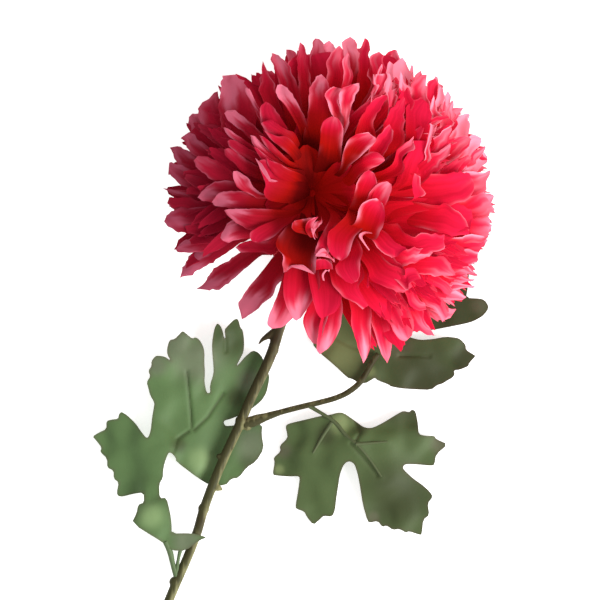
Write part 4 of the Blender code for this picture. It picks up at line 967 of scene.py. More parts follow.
def petal_material(settings):
    """Chrysanthemum petal: a thin, matt, velvety skin, dark at its root and pale at its thin rim, with
    painted shade deep in the bloom and a painted glow.
    """
    material, tree = new_material("velvety_petal")
    uv = add_node(tree, "UVMap", {"uv_map": "UVMap"})
    across, along, _ = add_node(tree, "SeparateXYZ", inputs={0: uv.outputs[0]}).outputs
    marks = add_node(tree, "Attribute", {"attribute_name": "petal"})
    chance, dusk, pale = add_node(tree, "SeparateXYZ", inputs={0: marks.outputs["Vector"]}).outputs
    depth = add_node(tree, "Attribute", {"attribute_name": "depth"})

    # Fine veins run along each petal
    spot = add_node(tree, "CombineXYZ", inputs={0: across, 1: along, 2: chance})
    lengthwise = add_node(tree, "Mapping", inputs={0: spot.outputs[0], "Scale": PETAL_VEINS})
    veins = add_node(tree, "TexNoise", inputs={
        "Vector": lengthwise.outputs[0], "Scale": 1.0, "Detail": 3.0, "Roughness": 0.6})

    # The colour goes from the shaded root to the bright end; painted shade deep under the dome, near the
    # heart, in the hollows and along some petals counts as nearer the root
    shift = add_node(tree, "Math", {"operation": "MULTIPLY_ADD"}, {0: veins.outputs[0], 1: 0.24, 2: -0.12})
    height = add_node(tree, "Math", {"operation": "SUBTRACT"}, {0: along, 1: depth.outputs["Fac"]})
    share = add_node(tree, "Math", {"operation": "ADD"}, {0: height.outputs[0], 1: shift.outputs[0]})
    spread = add_node(tree, "MapRange", inputs={0: share.outputs[0], 1: -1.4, 2: 1.0})
    ramp = add_node(tree, "ValToRGB", inputs={0: spread.outputs[0]})
    stops = ramp.color_ramp.elements
    # The shadow and hollow stops are painted shade; the heart, body and bright stops are the petal's own
    # colours
    stops[0].position, stops[0].color = 0.08, (*settings.shadow, 1.0)
    stops[1].position, stops[1].color = 0.9, (*settings.bright, 1.0)
    for position, tint in ((0.38, settings.hollow), (0.6, settings.heart), (0.75, settings.body)):
        stops.new(position).color = (*tint, 1.0)

    # The dull side of the bloom is dusky where it is open, partly a duller hue and partly painted shade away
    # from the key light, and the veins break the colour up
    openness = add_node(tree, "MapRange", inputs={0: spread.outputs[0], 1: 0.35, 2: 0.7, 3: 0.15, 4: 1.0})
    dull = add_node(tree, "Math", {"operation": "MULTIPLY"}, {0: dusk, 1: openness.outputs[0]})
    dulled = add_node(tree, "Mix", {"data_type": "RGBA"}, {
        FACTOR: dull.outputs[0], FIRST: ramp.outputs[0], SECOND: (*settings.dusk, 1.0)})
    tone = add_node(tree, "MapRange", inputs={0: veins.outputs[0], 1: 0.3, 2: 0.7, 3: 0.86, 4: 1.1})
    veined = add_node(tree, "VectorMath", {"operation": "SCALE"}, {
        0: dulled.outputs[MIXED], "Scale": tone.outputs[0]})

    # The thin rim is pale, and duller on the dull side, partly a duller hue and partly painted shade
    rim = add_node(tree, "Mix", {"data_type": "RGBA"}, {
        FACTOR: dusk, FIRST: (*settings.rim, 1.0), SECOND: (*settings.shaded_side_rim, 1.0)})
    colour = add_node(tree, "Mix", {"data_type": "RGBA"}, {
        FACTOR: pale, FIRST: veined.outputs[0], SECOND: rim.outputs[MIXED]})
    bump = add_node(tree, "Bump", inputs={
        "Strength": 0.25, "Distance": 0.15 * MM, "Height": veins.outputs[0]})
    # The emission is a painted glow of the petal's own colour, which stands in for the light that comes
    # through the thin petals
    shader = add_node(tree, "BsdfPrincipled", inputs={
        "Base Color": colour.outputs[MIXED], "Roughness": 0.7, "Specular IOR Level": 0.03,
        "Emission Color": colour.outputs[MIXED], "Emission Strength": settings.glow,
        "Normal": bump.outputs[0]})
    add_node(tree, "OutputMaterial", inputs={0: shader.outputs[0]})
    return material


def core_point(azimuth, elevation, depth=1.0):
    """A point of the core ellipsoid, or the same share of the way out to it."""
    flat = math.cos(elevation) * CORE_RADIUS * depth
    rise = math.sin(elevation) * CORE_HALF_HEIGHT * depth
    return CORE_CENTRE + Vector((math.cos(azimuth) * flat, math.sin(azimuth) * flat, rise))


def petal_line(tip, origin):
    """Base, control point and tip of the petal that ends at a tip and seems to come from an origin."""
    heading = Vector((origin.x - tip.x, origin.y - tip.y)).normalized()
    to_axis = Vector((BLOOM_AXIS.x - tip.x, BLOOM_AXIS.y - tip.y))
    nearest = heading * to_axis.dot(heading) - to_axis
    root = nearest * (1 - BASE_TURN) - to_axis * BASE_TURN
    azimuth = math.atan2(root.y, root.x)
    elevation = math.atan2(tip.z - CORE_Z, to_axis.length)
    lifted = min(elevation + BASE_LIFT, STEEPEST_BASE)
    base = core_point(azimuth, lifted, BASE_DEPTH)
    away = (core_point(azimuth, lifted) - CORE_CENTRE).normalized()
    control = base + away * (tip - base).length * PETAL_ARCH
    return base, control, tip


def dome_share(x, y):
    """Distance of plan points from the bloom's axis, as a share of the dome's radius."""
    return np.hypot(x - BLOOM_AXIS.x, y - BLOOM_AXIS.y) / DOME_RADIUS


def dome_height(x, y):
    """Height of the bloom's face over plan points."""
    return DOME_SHOULDER_Z + DOME_RISE * np.sqrt(np.clip(1 - dome_share(x, y) ** 2, 0.0, 1.0))


def within(azimuth, sector):
    """Whether an azimuth in degrees lies in a sector."""
    return sector[0] <= azimuth % 360 <= sector[1]


def around(azimuth, reach, z):
    """A point round the bloom's axis."""
    angle = math.radians(azimuth)
    return BLOOM_AXIS + Vector((math.cos(angle) * reach, math.sin(angle) * reach, z))


def dusk_and_shade_share(tip):
    """How dusky a petal is: the bloom's left side is duller than its right, partly in hue and partly by
    painted shade away from the key light.
    """
    reach = (tip.x - BLOOM_AXIS.x) / DOME_RADIUS
    return min(1.0, max(0.0, MIDDLE_DULLNESS - DULLNESS_SLOPE * reach))


def chance_end(chance):
    """How pale a petal's end is where that is left to chance."""
    return LEAST_END + MORE_END * chance.random() ** 2


def rim_paleness(border, across, along, dull, end, line, chance):
    """How pale a petal is at points a distance from its border; the pale line comes and goes along it."""
    phases = [chance.uniform(0, 2 * math.pi) for _ in range(3)]
    if end is None:
        end = chance_end(chance)
    uneven = sum(wave(along, across, turns, phase) for turns, phase in zip(RIM_WAVES, phases))
    lean = across * chance.uniform(-RIM_LEAN, RIM_LEAN)
    strength = RIM_STRENGTH + RIM_UNEVENNESS * uneven + lean + LINE_STRENGTH * (line - 1)
    strength = np.clip(strength, 0.0, 1.0)
    reach = RIM_REACH * (LEAST_REACH + (1 - LEAST_REACH) * line)
    reach = reach * (RIM_REACH_MEAN + RIM_REACH_UNEVENNESS * wave(along, across, RIM_REACH_WAVE, phases[2]))
    early = LINE_EARLINESS * max(0.0, line - 1)
    begun = smooth(RIM_SPAN[0] - early, RIM_SPAN[1] - early, along)
    border_line = RIM_PALENESS * line * strength * np.exp(-(border / reach) ** RIM_FALL) * begun
    start = END_START - END_SPREAD * (end - 1)
    flames = sum(height * np.sin(across * turns + phase)
                 for (turns, height), phase in zip(END_FLAMES, phases[1:]))
    pale_end = END_PALENESS * end * (WEAK_END + (1 - WEAK_END) * strength)
    pale_end = pale_end * smooth(start, start + END_GROWTH, along + flames)
    palest = np.minimum(MOST_PALE, np.maximum(border_line, pale_end))
    return palest ** PALE_CONTRAST * (1 - DULL_LOSS * dull)


def set_painted_shade(mesh, points, shade):
    """Marks painted shade, as how far each point counts towards the dark root: more, the deeper it lies under
    the dome, near the heart, in the hollows and by the petal's own shade.
    """
    near_heart = 1 - smooth(*DARK_RING, np.hypot(points[:, 0] - HEART.x, points[:, 1] - HEART.y))
    under = np.clip((dome_height(points[:, 0], points[:, 1]) - points[:, 2]) / SHADE_DEPTH, 0.0, 1.0)
    under *= 1 - smooth(*SHADE_END, dome_share(points[:, 0], points[:, 1]))
    x_px, y_px = to_view(points)
    for hollow_x, hollow_y, reach, share in HOLLOWS:
        shade = shade + share * np.exp(-((x_px - hollow_x) ** 2 + (y_px - hollow_y) ** 2) / reach ** 2)
    mark(mesh, "depth", SHADE_SHARE * under + RING_SHARE * near_heart + shade)


def bend_petal(points, line, width, form, phase):
    """Moves the points of a flat petal onto its line: base, control point and tip."""
    base, control, tip = (np.array(point) for point in line)
    across = np.sin(points[:, 0] * math.pi / 2)
    along = (points[:, 1] + 1) / 2
    arch = 1 - np.sqrt(np.clip(1 - np.abs(across) ** form.arch, 0.0, 1.0))
    coarse = 1 - np.abs(np.cos(across * COARSE_TEETH + phase))
    teeth = form.teeth * (coarse + FINE_TOOTH_DEPTH * np.sin(across * FINE_TEETH + phase * 3))
    share = along * (1 - form.end * arch - teeth)

    stations = np.linspace(0, 1, LINE_STATIONS)[:, None]
    ahead = 2 * ((control - base) * (1 - stations) + (tip - control) * stations)
    side = unit(np.array((base[1] - tip[1], tip[0] - base[0], 0.0)))
    inward = unit(np.cross(ahead, side))
    turn = form.curl * smooth(*CURL_SPAN, stations)
    length = np.linalg.norm(ahead, axis=1, keepdims=True)
    curled = ahead * np.cos(turn) + inward * length * np.sin(turn)
    steps = (curled[1:] + curled[:-1]) / 2 / (len(stations) - 1)
    centre = base + np.vstack((np.zeros(3), np.cumsum(steps, axis=0)))
    centre += (tip - centre[-1]) * stations ** 2
    heading = unit(np.gradient(centre, axis=0))
    inward = unit(np.cross(heading, side))
    sideways = np.cross(heading, inward)
    roll = form.roll * stations
    inward, sideways = (inward * np.cos(roll) - sideways * np.sin(roll),
                        sideways * np.cos(roll) + inward * np.sin(roll))
    spot, up, out = (interpolate(share, stations[:, 0], rows) for rows in (centre, inward, sideways))

    half = width / 2 * (ROOT_SLIMNESS + (1 - ROOT_SLIMNESS) * smooth(*WIDENING_SPAN, share))
    half = half * (1 - END_NARROWING * smooth(*END_SPAN, share))
    angle = form.cup * across
    ripple = form.wave * half * wave(share, across, LINE_WAVE, phase) * across ** 2
    pleat = PLEAT * half * np.cos(across * LINE_PLEATS + phase * 2) * smooth(*PLEAT_SPAN, share)
    lift = half * (1 - np.cos(angle)) / form.cup + ripple * smooth(*LINE_WAVE_SPAN, share) + pleat
    reach = half * np.sin(angle) / form.cup
    skin = points[:, 2] * (1 - LINE_THINNING * across ** 4)
    return (spot + unit(out) * (reach - skin * np.sin(angle))[:, None]
            + unit(up) * (lift + skin * np.cos(angle))[:, None])


def shape_on_line(points, petal, chance):
    """A petal on a line: its points, how pale they are, its end, its own shade and if it is flipped."""
    line, width, form, pale = petal
    form = form._replace(roll=chance.uniform(*ROLLS), cup=form.cup * chance.uniform(*CUP_SHARES),
                         curl=form.curl + chance.uniform(*CURL_GAINS))
    moved = bend_petal(points, line, width, form, chance.uniform(0, 2 * math.pi))
    # What would sink into the surface is eased to just over it
    moved[:, 2] = np.where(moved[:, 2] < MM, MM * np.exp(moved[:, 2] / MM - 1), moved[:, 2])
    across = np.abs(np.sin(points[:, 0] * math.pi / 2))
    along = (points[:, 1] + 1) / 2
    base, _, tip = line
    border = np.minimum((1 - across) * width / 2, (1 - along) * (tip - base).length)
    end = pale * chance_end(chance)
    paleness = rim_paleness(border, across, along, dusk_and_shade_share(tip), end, pale, chance)
    return moved, paleness, tip, 0.0, False


def trace(edge, shares):
    """Points at shares of the length of a smooth line through an edge's points."""
    rows = np.array(edge, dtype=float)
    rows = np.vstack((2 * rows[0] - rows[1], rows, 2 * rows[-1] - rows[-2]))
    steps = np.linspace(0, 1, 9)[:-1, None]
    line = []
    for a, b, c, d in zip(rows, rows[1:], rows[2:], rows[3:]):
        line.append(((2 * b) + (c - a) * steps + (2 * a - 5 * b + 4 * c - d) * steps ** 2
                     + (3 * b - a - 3 * c + d) * steps ** 3) / 2)
    line = np.vstack((*line, rows[-2]))
    length = np.concatenate(([0], np.cumsum(np.linalg.norm(np.diff(line, axis=0), axis=1))))
    return interpolate(shares * length[-1], length, line)


def fray(near, far, first, last, along, chance):
    """Moves a petal's two edges in and out in fine frills; first and last are the ends of its left edge."""
    gap = np.linalg.norm(far - near, axis=1)
    outwards = (far - near) / np.maximum(1e-6, gap)[:, None]
    full = smooth(*FRILL_REACH, np.hypot(*(last - np.array(HEART_PX))) * PIXEL)
    calm = CALM_SHARE * smooth(*CALM_UNDER_PX, last[1]) * smooth(*CALM_LEFT_OF_PX, last[0])
    ragged = sum(smooth(*span, along) for span in FRILL_SPANS) * (1 - smooth(*FRILL_END, along))
    ragged *= (HEART_FRILL + (1 - HEART_FRILL) * full) * (1 - calm) * np.minimum(1, gap / FRILL_WIDTH_PX)
    run = math.hypot(*(last - first))
    for edge, sign in ((near, -1), (far, 1)):
        shift = np.zeros(len(along))
        for pitch, height in FRILLS:
            turns = along * run / pitch * math.pi
            shift += height * (1 - 2 * np.abs(np.sin(turns + chance.uniform(0, math.pi))))
        edge += outwards * (sign * shift * ragged)[:, None]


def shape_in_outline(points, petal, chance):
    """A petal in its outline: its points, how pale they are, its end, its shade and if it is flipped."""
    petal = Outlined(*petal)
    across = np.sin(points[:, 0] * math.pi / 2)
    along = 1 - (1 - (points[:, 1] + 1) / 2) ** END_CROWDING
    left, right = (np.reshape(edge, (-1, 2)).astype(float) for edge in (petal.left, petal.right))
    start = (left[0] + right[0]) / 2
    root = np.array(HEART_PX) + (start - HEART_PX) * ROOT_SHARE
    sideways = (right[0] - left[0]) * ROOT_WIDTH
    near = trace([root - sideways / 2, *left], along)
    far = trace([root + sideways / 2, *right], along)
    fray(near, far, left[0], left[-1], along, chance)
    spot = near + (far - near) * ((1 + across) / 2)[:, None]
    half = np.linalg.norm(far - near, axis=1) / 2 * PIXEL

    middle = (left[-1] + right[-1]) / 2
    tip = place(*middle)
    tip_z = dome_height(tip.x, tip.y) + petal.lift * MM
    reach = (place(*root) - BLOOM_AXIS).length / RECEPTACLE_RADIUS
    root_z = RECEPTACLE_Z + RECEPTACLE_HALF_HEIGHT * math.sqrt(max(0.0, 1 - reach ** 2))
    run = np.linalg.norm(middle - root) * PIXEL
    length = math.hypot(run, tip_z - root_z)
    phase = chance.uniform(0, 2 * math.pi)
    lean = chance.uniform(*LEANS)
    end_rise = chance.uniform(*END_RISES) * length
    pleats = chance.uniform(*OUTLINED_PLEATS)
    rise = root_z + (tip_z - root_z) * along + OUTLINED_BULGE * length * 4 * along * (1 - along)
    rise += OUTLINED_CUP * petal.cup * half * across ** 2 * smooth(*OUTLINED_CUP_SPAN, along)
    rise += (OUTLINED_WAVE_SHARE * half * wave(along, across, OUTLINED_WAVE, phase) * across ** 2
             * smooth(*OUTLINED_WAVE_SPAN, along))
    rise += PLEAT * half * np.cos(across * pleats + phase) * smooth(*PLEAT_SPAN, along)
    rise += lean * half * across * along + end_rise * smooth(*END_SPAN, along)
    rise = np.where(rise > TOP_Z, TOP_Z + (rise - TOP_Z) * TOP_SHARE, rise)
    # Where its edges run the other way round, the flat petal is flipped to keep its faces outwards
    flip = np.cross(start - root, sideways) > 0
    rise += points[:, 2] * (1 - OUTLINED_THINNING * across ** 4) * (-1 if flip else 1)

    border = np.minimum((1 - np.abs(across)) * half, (1 - along) * run)
    paleness = rim_paleness(border, across, along, dusk_and_shade_share(tip), petal.end, petal.line, chance)
    moved = np.column_stack(((spot[:, 0] - MIDDLE_PX[0]) * PIXEL, (MIDDLE_PX[1] - spot[:, 1]) * PIXEL, rise))
    shade = petal.depth * ((1 - points[:, 1]) / 2 - petal.bright)
    return moved, paleness, tip, shade, flip


def grow(name, flat, petals, shape, chance):
    """Copies the flat petal once for each petal, shapes the copies and joins them as one piece."""
    points = read_points(flat.data)
    copies = []
    for petal in petals:
        moved, paleness, tip, shade, flip = shape(points, petal, chance)
        copies.append(copy_of(flat))
        mesh = copies[-1].data
        mesh.vertices.foreach_set("co", moved.ravel())
        if flip:
            mesh.flip_normals()
        alike = [np.full(len(points), value) for value in (chance.random(), dusk_and_shade_share(tip))]
        mark(mesh, "petal", np.column_stack((*alike, paleness)))
        set_painted_shade(mesh, moved, shade)
    settle(join(name, copies), "petals", "bloom")


def heart_petals():
    """The petals that line the heart, each by its outline; the painted shade deep under the dome makes them
    dark.
    """
    for index in range(THROAT_COUNT):
        turn = 2 * math.pi * index / THROAT_COUNT
        left, right = ([(HEART_PX[0] + reach * math.cos(turn + side * spread),
                         HEART_PX[1] + reach * math.sin(turn + side * spread))
                        for reach, spread in THROAT_SHAPE] for side in (-1, 1))
        yield left, right, THROAT_LIFT - THROAT_STEP * (index % 2), THROAT_CUP, 0.0, 0.0


def rim_petals(chance):
    """The ruffles behind the rim and the petals that end at the bloom's edge, each by its line."""
    for count, sector, form, pale in RUFFLES:
        for _ in range(count):
            tip = around(chance.uniform(*sector), chance.uniform(*RUFFLE_REACH), 0)
            tip.z = dome_height(tip.x, tip.y) + chance.uniform(*RUFFLE_LIFT)
            line = petal_line(tip, HEART.lerp(BLOOM_AXIS, chance.uniform(*RUFFLE_ORIGIN)))
            yield line, chance.uniform(*RUFFLE_WIDTH), form, pale
    for tips, levels, form, pale in RIMS:
        for index, (tip_x, tip_y) in enumerate(tips):
            level = levels[index % len(levels)] + chance.uniform(*RIM_LEVEL_CHANCE) * MM
            tip = place(tip_x + chance.uniform(-2, 1), tip_y + chance.uniform(-2, 2), level)
            line = petal_line(tip, HEART.lerp(BLOOM_AXIS, chance.uniform(*RIM_ORIGIN)))
            faded = pale * (1 - RIM_FADE * float(smooth(*RIM_FADE_PX, tip_y)))
            yield line, chance.uniform(*RIM_WIDTH_PX) * PIXEL, form, faded


def fringe_petals(chance):
    """The narrow points between the toothed petals of the rim, each by its line."""
    for index in range(FRINGE_COUNT):
        first, share = divmod(index / FRINGE_COUNT * (FRINGE_SPAN - 1), 1)
        before, after = (place(*tip) for tip in TOOTHED_RIM_PX[int(first):int(first) + 2])
        tip = before.lerp(after, share).lerp(BLOOM_AXIS, chance.uniform(*FRINGE_INSET))
        tip.z = chance.uniform(*FRINGE_LEVELS)
        yield petal_line(tip, HEART), chance.uniform(*FRINGE_WIDTH), TOOTHED, FRINGE_PALENESS


def fill_petals(chance):
    """The petals that fill the bloom under its face, each by its line."""
    for index in range(FILL_COUNT):
        azimuth = index * GOLDEN_ANGLE
        reach = FILL_REACH[0] + (FILL_REACH[1] - FILL_REACH[0]) * math.sqrt(index / FILL_COUNT)
        tip = around(azimuth, reach, 0)
        tip.z = dome_height(tip.x, tip.y) - chance.uniform(*FILL_DROP)
        too_long = reach > SHORT_REACH and within(azimuth, SHORT_SECTOR)
        if not within(azimuth, OPEN_SECTOR) and not too_long:
            yield petal_line(tip, BLOOM_AXIS), FILL_WIDTH, BLADE, FILL_PALENESS


def lower_petals(chance):
    """The layers of petals under the bloom's face and those of its foot, each by its line."""
    for z, reach, count, width in LOWER_LAYERS:
        for index in range(count):
            azimuth = 360 * (index + chance.uniform(*LOWER_TURN)) / count
            over_leaf = z < LEAF_ROOM_Z and within(azimuth, LEAF_SECTOR)
            if not within(azimuth, OPEN_SECTOR) and not over_leaf:
                far = SHORT_REACH if within(azimuth, SHORT_SECTOR) else reach
                tip = around(azimuth, far * chance.uniform(*LOWER_REACH), z)
                yield petal_line(tip, BLOOM_AXIS), width, BLADE, LOWER_PALENESS
    for azimuth in FOOT_AZIMUTHS:
        tip = around(azimuth, FOOT_REACH, FOOT_Z)
        base, _, _ = petal_line(tip, BLOOM_AXIS)
        yield (base, around(azimuth, *FOOT_BEND), tip), FOOT_WIDTH, BLADE, LOWER_PALENESS


def cloak_petals(chance):
    """The short petals close round the receptacle, each by its line."""
    for azimuths, curve in CLOAK_ROWS:
        for azimuth in range(*azimuths):
            turned = azimuth + chance.uniform(*CLOAK_TURN)
            drop = chance.uniform(*CLOAK_DROP)
            line = [around(turned, reach * MM, (z + drop) * MM) for reach, z in curve]
            yield line, chance.uniform(*CLOAK_WIDTH), BLADE, LOWER_PALENESS


def model_receptacle(material):
    """The receptacle with the crowded petal roots round it, which closes the view between the petals."""
    deselect_all()
    middle = place(*BLOOM_AXIS_PX, RECEPTACLE_Z)
    bpy.ops.mesh.primitive_uv_sphere_add(segments=64, ring_count=32, radius=1, location=middle)
    core = bpy.context.object
    core.name = "receptacle"
    core.scale = (RECEPTACLE_RADIUS, RECEPTACLE_RADIUS, RECEPTACLE_HALF_HEIGHT)
    bpy.ops.object.transform_apply(location=True, rotation=True, scale=True)
    points = read_points(core.data) - np.array(middle)
    turn = np.arctan2(points[:, 1], points[:, 0])
    points *= 1 + FURROW_DEPTH * np.sin(turn * FURROW_COUNT)[:, None]
    points[:, 2] = np.where(points[:, 2] < 0, points[:, 2] * RECEPTACLE_FLATNESS, points[:, 2])
    core.data.vertices.foreach_set("co", (points + np.array(middle)).ravel())
    # All of it has the colour of a petal's root
    for corner in core.data.uv_layers.active.data:
        corner.uv = (corner.uv[0], 0.0)
    bpy.ops.object.shade_smooth()
    core.data.materials.append(material)
    return core


class CHRYSANTHEMUM_OT_petals(bpy.types.Operator):
    """Grow every petal of the bloom round its receptacle"""
    bl_idname = "chrysanthemum.petals"
    bl_label = "Petals"

    def execute(self, context):
        settings = context.scene.petal_settings
        material = petal_material(settings)
        half = len(OUTLINED_PETALS) // 2
        flat = model_flat_blade(OUTLINED_GRID, settings.thickness, material)
        for name, petals in (("petals_heart", list(heart_petals())),
                             ("petals_upper_face", OUTLINED_PETALS[:half]),
                             ("petals_lower_face", OUTLINED_PETALS[half:])):
            grow(name, flat, petals, shape_in_outline, random.Random(SEED))
        bpy.data.objects.remove(flat, do_unlink=True)
        settle(model_receptacle(material), "petals", "bloom")

        flat = model_flat_blade(LINE_GRID, settings.thickness, material)
        outer = {"petals_rim": rim_petals, "petals_fringe": fringe_petals}
        under = {"petals_fill": fill_petals, "petals_lower": lower_petals, "petals_cloak": cloak_petals}
        for group in (outer, under):
            chance = random.Random(SEED)
            for name, lay_out in group.items():
                petals = list(lay_out(chance))
                grow(name, flat, petals, shape_on_line, random.Random(len(petals)))
        bpy.data.objects.remove(flat, do_unlink=True)
        return {"FINISHED"}


def line_offset(x_px, y_px, line):
    """Distance in pixels from plan points to a line of plan points, negative to the right of its run."""
    best = np.full(np.shape(x_px), np.inf)
    for (ax, ay), (bx, by) in zip(line, line[1:]):
        run = np.array((bx - ax, by - ay))
        share = np.clip(((x_px - ax) * run[0] + (y_px - ay) * run[1]) / (run @ run), 0, 1)
        gap = np.hypot(x_px - ax - share * run[0], y_px - ay - share * run[1])
        side = np.sign(run[0] * (y_px - ay) - run[1] * (x_px - ax))
        best = np.where(gap < np.abs(best), gap * side, best)
    return best


def closeness(x_px, y_px, line, reach):
    """How close plan points are to a line of plan points: 1 on it, and near 0 from twice its reach on."""
    return np.exp(-(line_offset(x_px, y_px, line) / reach) ** 2)


def leaf_height(x_px, y_px, heights):
    """Height of a leaf in metres: a soft mean of the heights given at its anchors."""
    total = 0.0
    weights = 0.0
    for anchor_x, anchor_y, z in heights:
        gap = (anchor_x - x_px) ** 2 + (anchor_y - y_px) ** 2 + ANCHOR_SOFTNESS_PX ** 2
        total = total + z / gap ** 2
        weights = weights + 1 / gap ** 2
    return total / weights * MM


def rounded(outline):
    """An outline with each corner cut at a share of its sides, which rounds it."""
    points = []
    for (ax, ay), (bx, by) in zip(outline, [*outline[1:], outline[0]]):
        points.append((ax + (bx - ax) * CORNER_SHARE, ay + (by - ay) * CORNER_SHARE))
        points.append((bx + (ax - bx) * CORNER_SHARE, by + (ay - by) * CORNER_SHARE))
    return points


def tube(rows, sides):
    """A tapering tube along rows of plan pixel x, y, height and radius in millimetres."""
    deselect_all()
    bpy.ops.curve.primitive_nurbs_path_add()
    curve = bpy.context.object.data
    curve.splines.clear()
    spline = curve.splines.new("BEZIER")
    spline.bezier_points.add(len(rows) - 1)
    for point, (x_px, y_px, z, radius) in zip(spline.bezier_points, rows):
        point.co = place(x_px, y_px, z * MM)
        point.radius = radius
        point.handle_left_type = point.handle_right_type = "AUTO"
    spline.resolution_u = TUBE_STEPS
    curve.dimensions = "3D"
    curve.bevel_depth = MM
    curve.bevel_resolution = (sides - 4) // 2
    curve.use_fill_caps = True
    bpy.ops.object.convert(target="MESH")
    made = bpy.context.object
    made.matrix_world.identity()
    return made


def cut_blade(outline, thickness):
    """A fine flat grid of a leaf's thickness, cut to its outline."""
    low = Vector((min(p.x for p in outline), min(p.y for p in outline)))
    high = Vector((max(p.x for p in outline), max(p.y for p in outline)))
    step = LEAF_GRID_PX * PIXEL
    columns, rows = (math.ceil((high[axis] - low[axis]) / step) + 2 for axis in range(2))
    deselect_all()
    bpy.ops.mesh.primitive_grid_add(x_subdivisions=columns, y_subdivisions=rows, size=1,
                                    location=(*(low + high) / 2, 0))
    blade = bpy.context.object
    blade.scale = (columns * step, rows * step, 1)
    bpy.ops.object.transform_apply(location=True, rotation=True, scale=True)
    thicken(blade, thickness)

    shape = bpy.data.meshes.new("cutter")
    shape.from_pydata([(p.x, p.y, -CUTTER_REACH) for p in outline], [], [list(range(len(outline)))])
    cutter = bpy.data.objects.new("cutter", shape)
    bpy.context.scene.collection.objects.link(cutter)
    pick(cutter)
    bpy.ops.object.mode_set(mode="EDIT")
    bpy.ops.mesh.select_all(action="SELECT")
    bpy.ops.mesh.extrude_region_move(TRANSFORM_OT_translate={"value": (0, 0, 2 * CUTTER_REACH)})
    bpy.ops.mesh.select_all(action="SELECT")
    bpy.ops.mesh.normals_make_consistent(inside=False)
    bpy.ops.object.mode_set(mode="OBJECT")
    cut = blade.modifiers.new("Outline", "BOOLEAN")
    cut.operation = "INTERSECT"
    cut.object = cutter
    apply_all(blade)
    bpy.data.objects.remove(cutter, do_unlink=True)
    return blade


def press_blade(mesh, leaf, crease):
    """Lays a cut blade on its leaf's heights, presses its creases and ribs in, and marks its tints, with
    painted shade in its creases.
    """
    points = read_points(mesh)
    x_px, y_px = to_view(points)
    folds = np.zeros(len(points))
    for line in leaf.creases:
        folds = np.maximum(folds, closeness(x_px, y_px, line, CREASE_PX))
    points[:, 2] += leaf_height(x_px, y_px, leaf.heights) - crease * folds
    for rib in leaf.ribs:
        points[:, 2] += SWELLING * closeness(x_px, y_px, rib, SWELLING_PX)
    mesh.vertices.foreach_set("co", points.ravel())

    tints = {name: np.zeros(len(points)) for name in TINTS}
    for patch_x, patch_y, reach, name in leaf.patches:
        near = np.exp(-((x_px - patch_x) ** 2 + (y_px - patch_y) ** 2) / reach ** 2)
        tints[name] = np.maximum(tints[name], near)
    # The creases are darkened with painted shade, which beside the lower leaf's main rib is a painted shadow
    tints["deep"] = np.maximum(tints["deep"], CREASE_PAINTED_SHADE * folds)
    mark(mesh, "tints", np.column_stack(list(tints.values())))
    mark(mesh, "tone", np.full(len(points), leaf.tone))
    mark(mesh, "rim", closeness(x_px, y_px, [*leaf.outline, leaf.outline[0]], WORN_RIM_PX))


def model_leaf(leaf, settings, material):
    """One leaf: its blade with the ribs of its back and its petioles."""
    blade = cut_blade([place(x, y) for x, y in rounded(leaf.outline)], settings.thickness)
    press_blade(blade.data, leaf, settings.crease)
    pick(blade)
    bpy.ops.object.shade_smooth_by_angle(angle=LEAF_SMOOTHING)
    lines = list(leaf.petioles)
    for rib in leaf.ribs:
        line = []
        for index, (x, y) in enumerate(rib):
            radius = RIB_RADIUS * (1 - RIB_TAPER * index / (len(rib) - 1))
            z = leaf_height(x, y, leaf.heights) + RIB_RISE
            line.append((x, y, z / MM, radius / MM))
        lines.append(line)
    parts = [blade, *(tube(line, RIB_SIDES) for line in lines)]
    for part in parts:
        part.data.materials.append(material)
    for part in parts[1:]:
        count = len(part.data.vertices)
        mark(part.data, "tone", np.full(count, leaf.tone))
        mark(part.data, "tints", np.tile(RIB_TINTS, (count, 1)))
    return join(leaf.node + "_blade", parts)


def bend_bract(points, azimuth, reach, inset):
    """Moves the points of a flat blade onto the calyx, as one pointed bract from its neck outwards."""
    across = np.sin(points[:, 0] * math.pi / 2)
    along = (points[:, 1] + 1) / 2
    radius = BRACT_START + (reach - BRACT_START) * along
    narrowing = np.clip(1 - along ** 3, 0.0, 1.0) ** 0.7
    turn = azimuth + across * math.pi / BRACT_COUNT * BRACT_OVERLAP * narrowing
    under = CORE_Z - CORE_HALF_HEIGHT * np.sqrt(1 - (radius / CORE_RADIUS) ** 2) - SEAT_GAP
    share = np.clip((radius - CALYX_NECK_RADIUS) / (CALYX_REACH - CALYX_NECK_RADIUS), 0.0, 1.0)
    wall = CALYX_WALL[0] + (CALYX_WALL[1] - CALYX_WALL[0]) * share
    height = under - wall + inset + BRACT_CUP * across ** 2 - points[:, 2]
    x, y = BLOOM_AXIS.x + np.cos(turn) * radius, BLOOM_AXIS.y + np.sin(turn) * radius
    return np.column_stack((x, y, height))


def model_calyx(settings, material):
    """The green cup behind the bloom: two overlapping rows of bracts round a short, widening neck."""
    flat = model_flat_blade(BRACT_GRID, settings.thickness, material)
    points = read_points(flat.data)
    border = np.minimum(1 - np.abs(points[:, 0]), 1 - points[:, 1])
    parts = [tube([(*BLOOM_AXIS_PX, z, radius) for z, radius in CALYX_CUP], CALYX_SIDES)]
    parts[0].data.materials.append(material)
    for offset, reach, inset in BRACT_ROWS:
        for index in range(BRACT_COUNT):
            azimuth = 2 * math.pi * (index + offset) / BRACT_COUNT
            parts.append(copy_of(flat))
            mesh = parts[-1].data
            mesh.vertices.foreach_set("co", bend_bract(points, azimuth, reach, inset).ravel())
            mark(mesh, "rim", np.exp(-(border / BRACT_RIM) ** 2))
    bpy.data.objects.remove(flat, do_unlink=True)
    return join("calyx_bracts", parts)


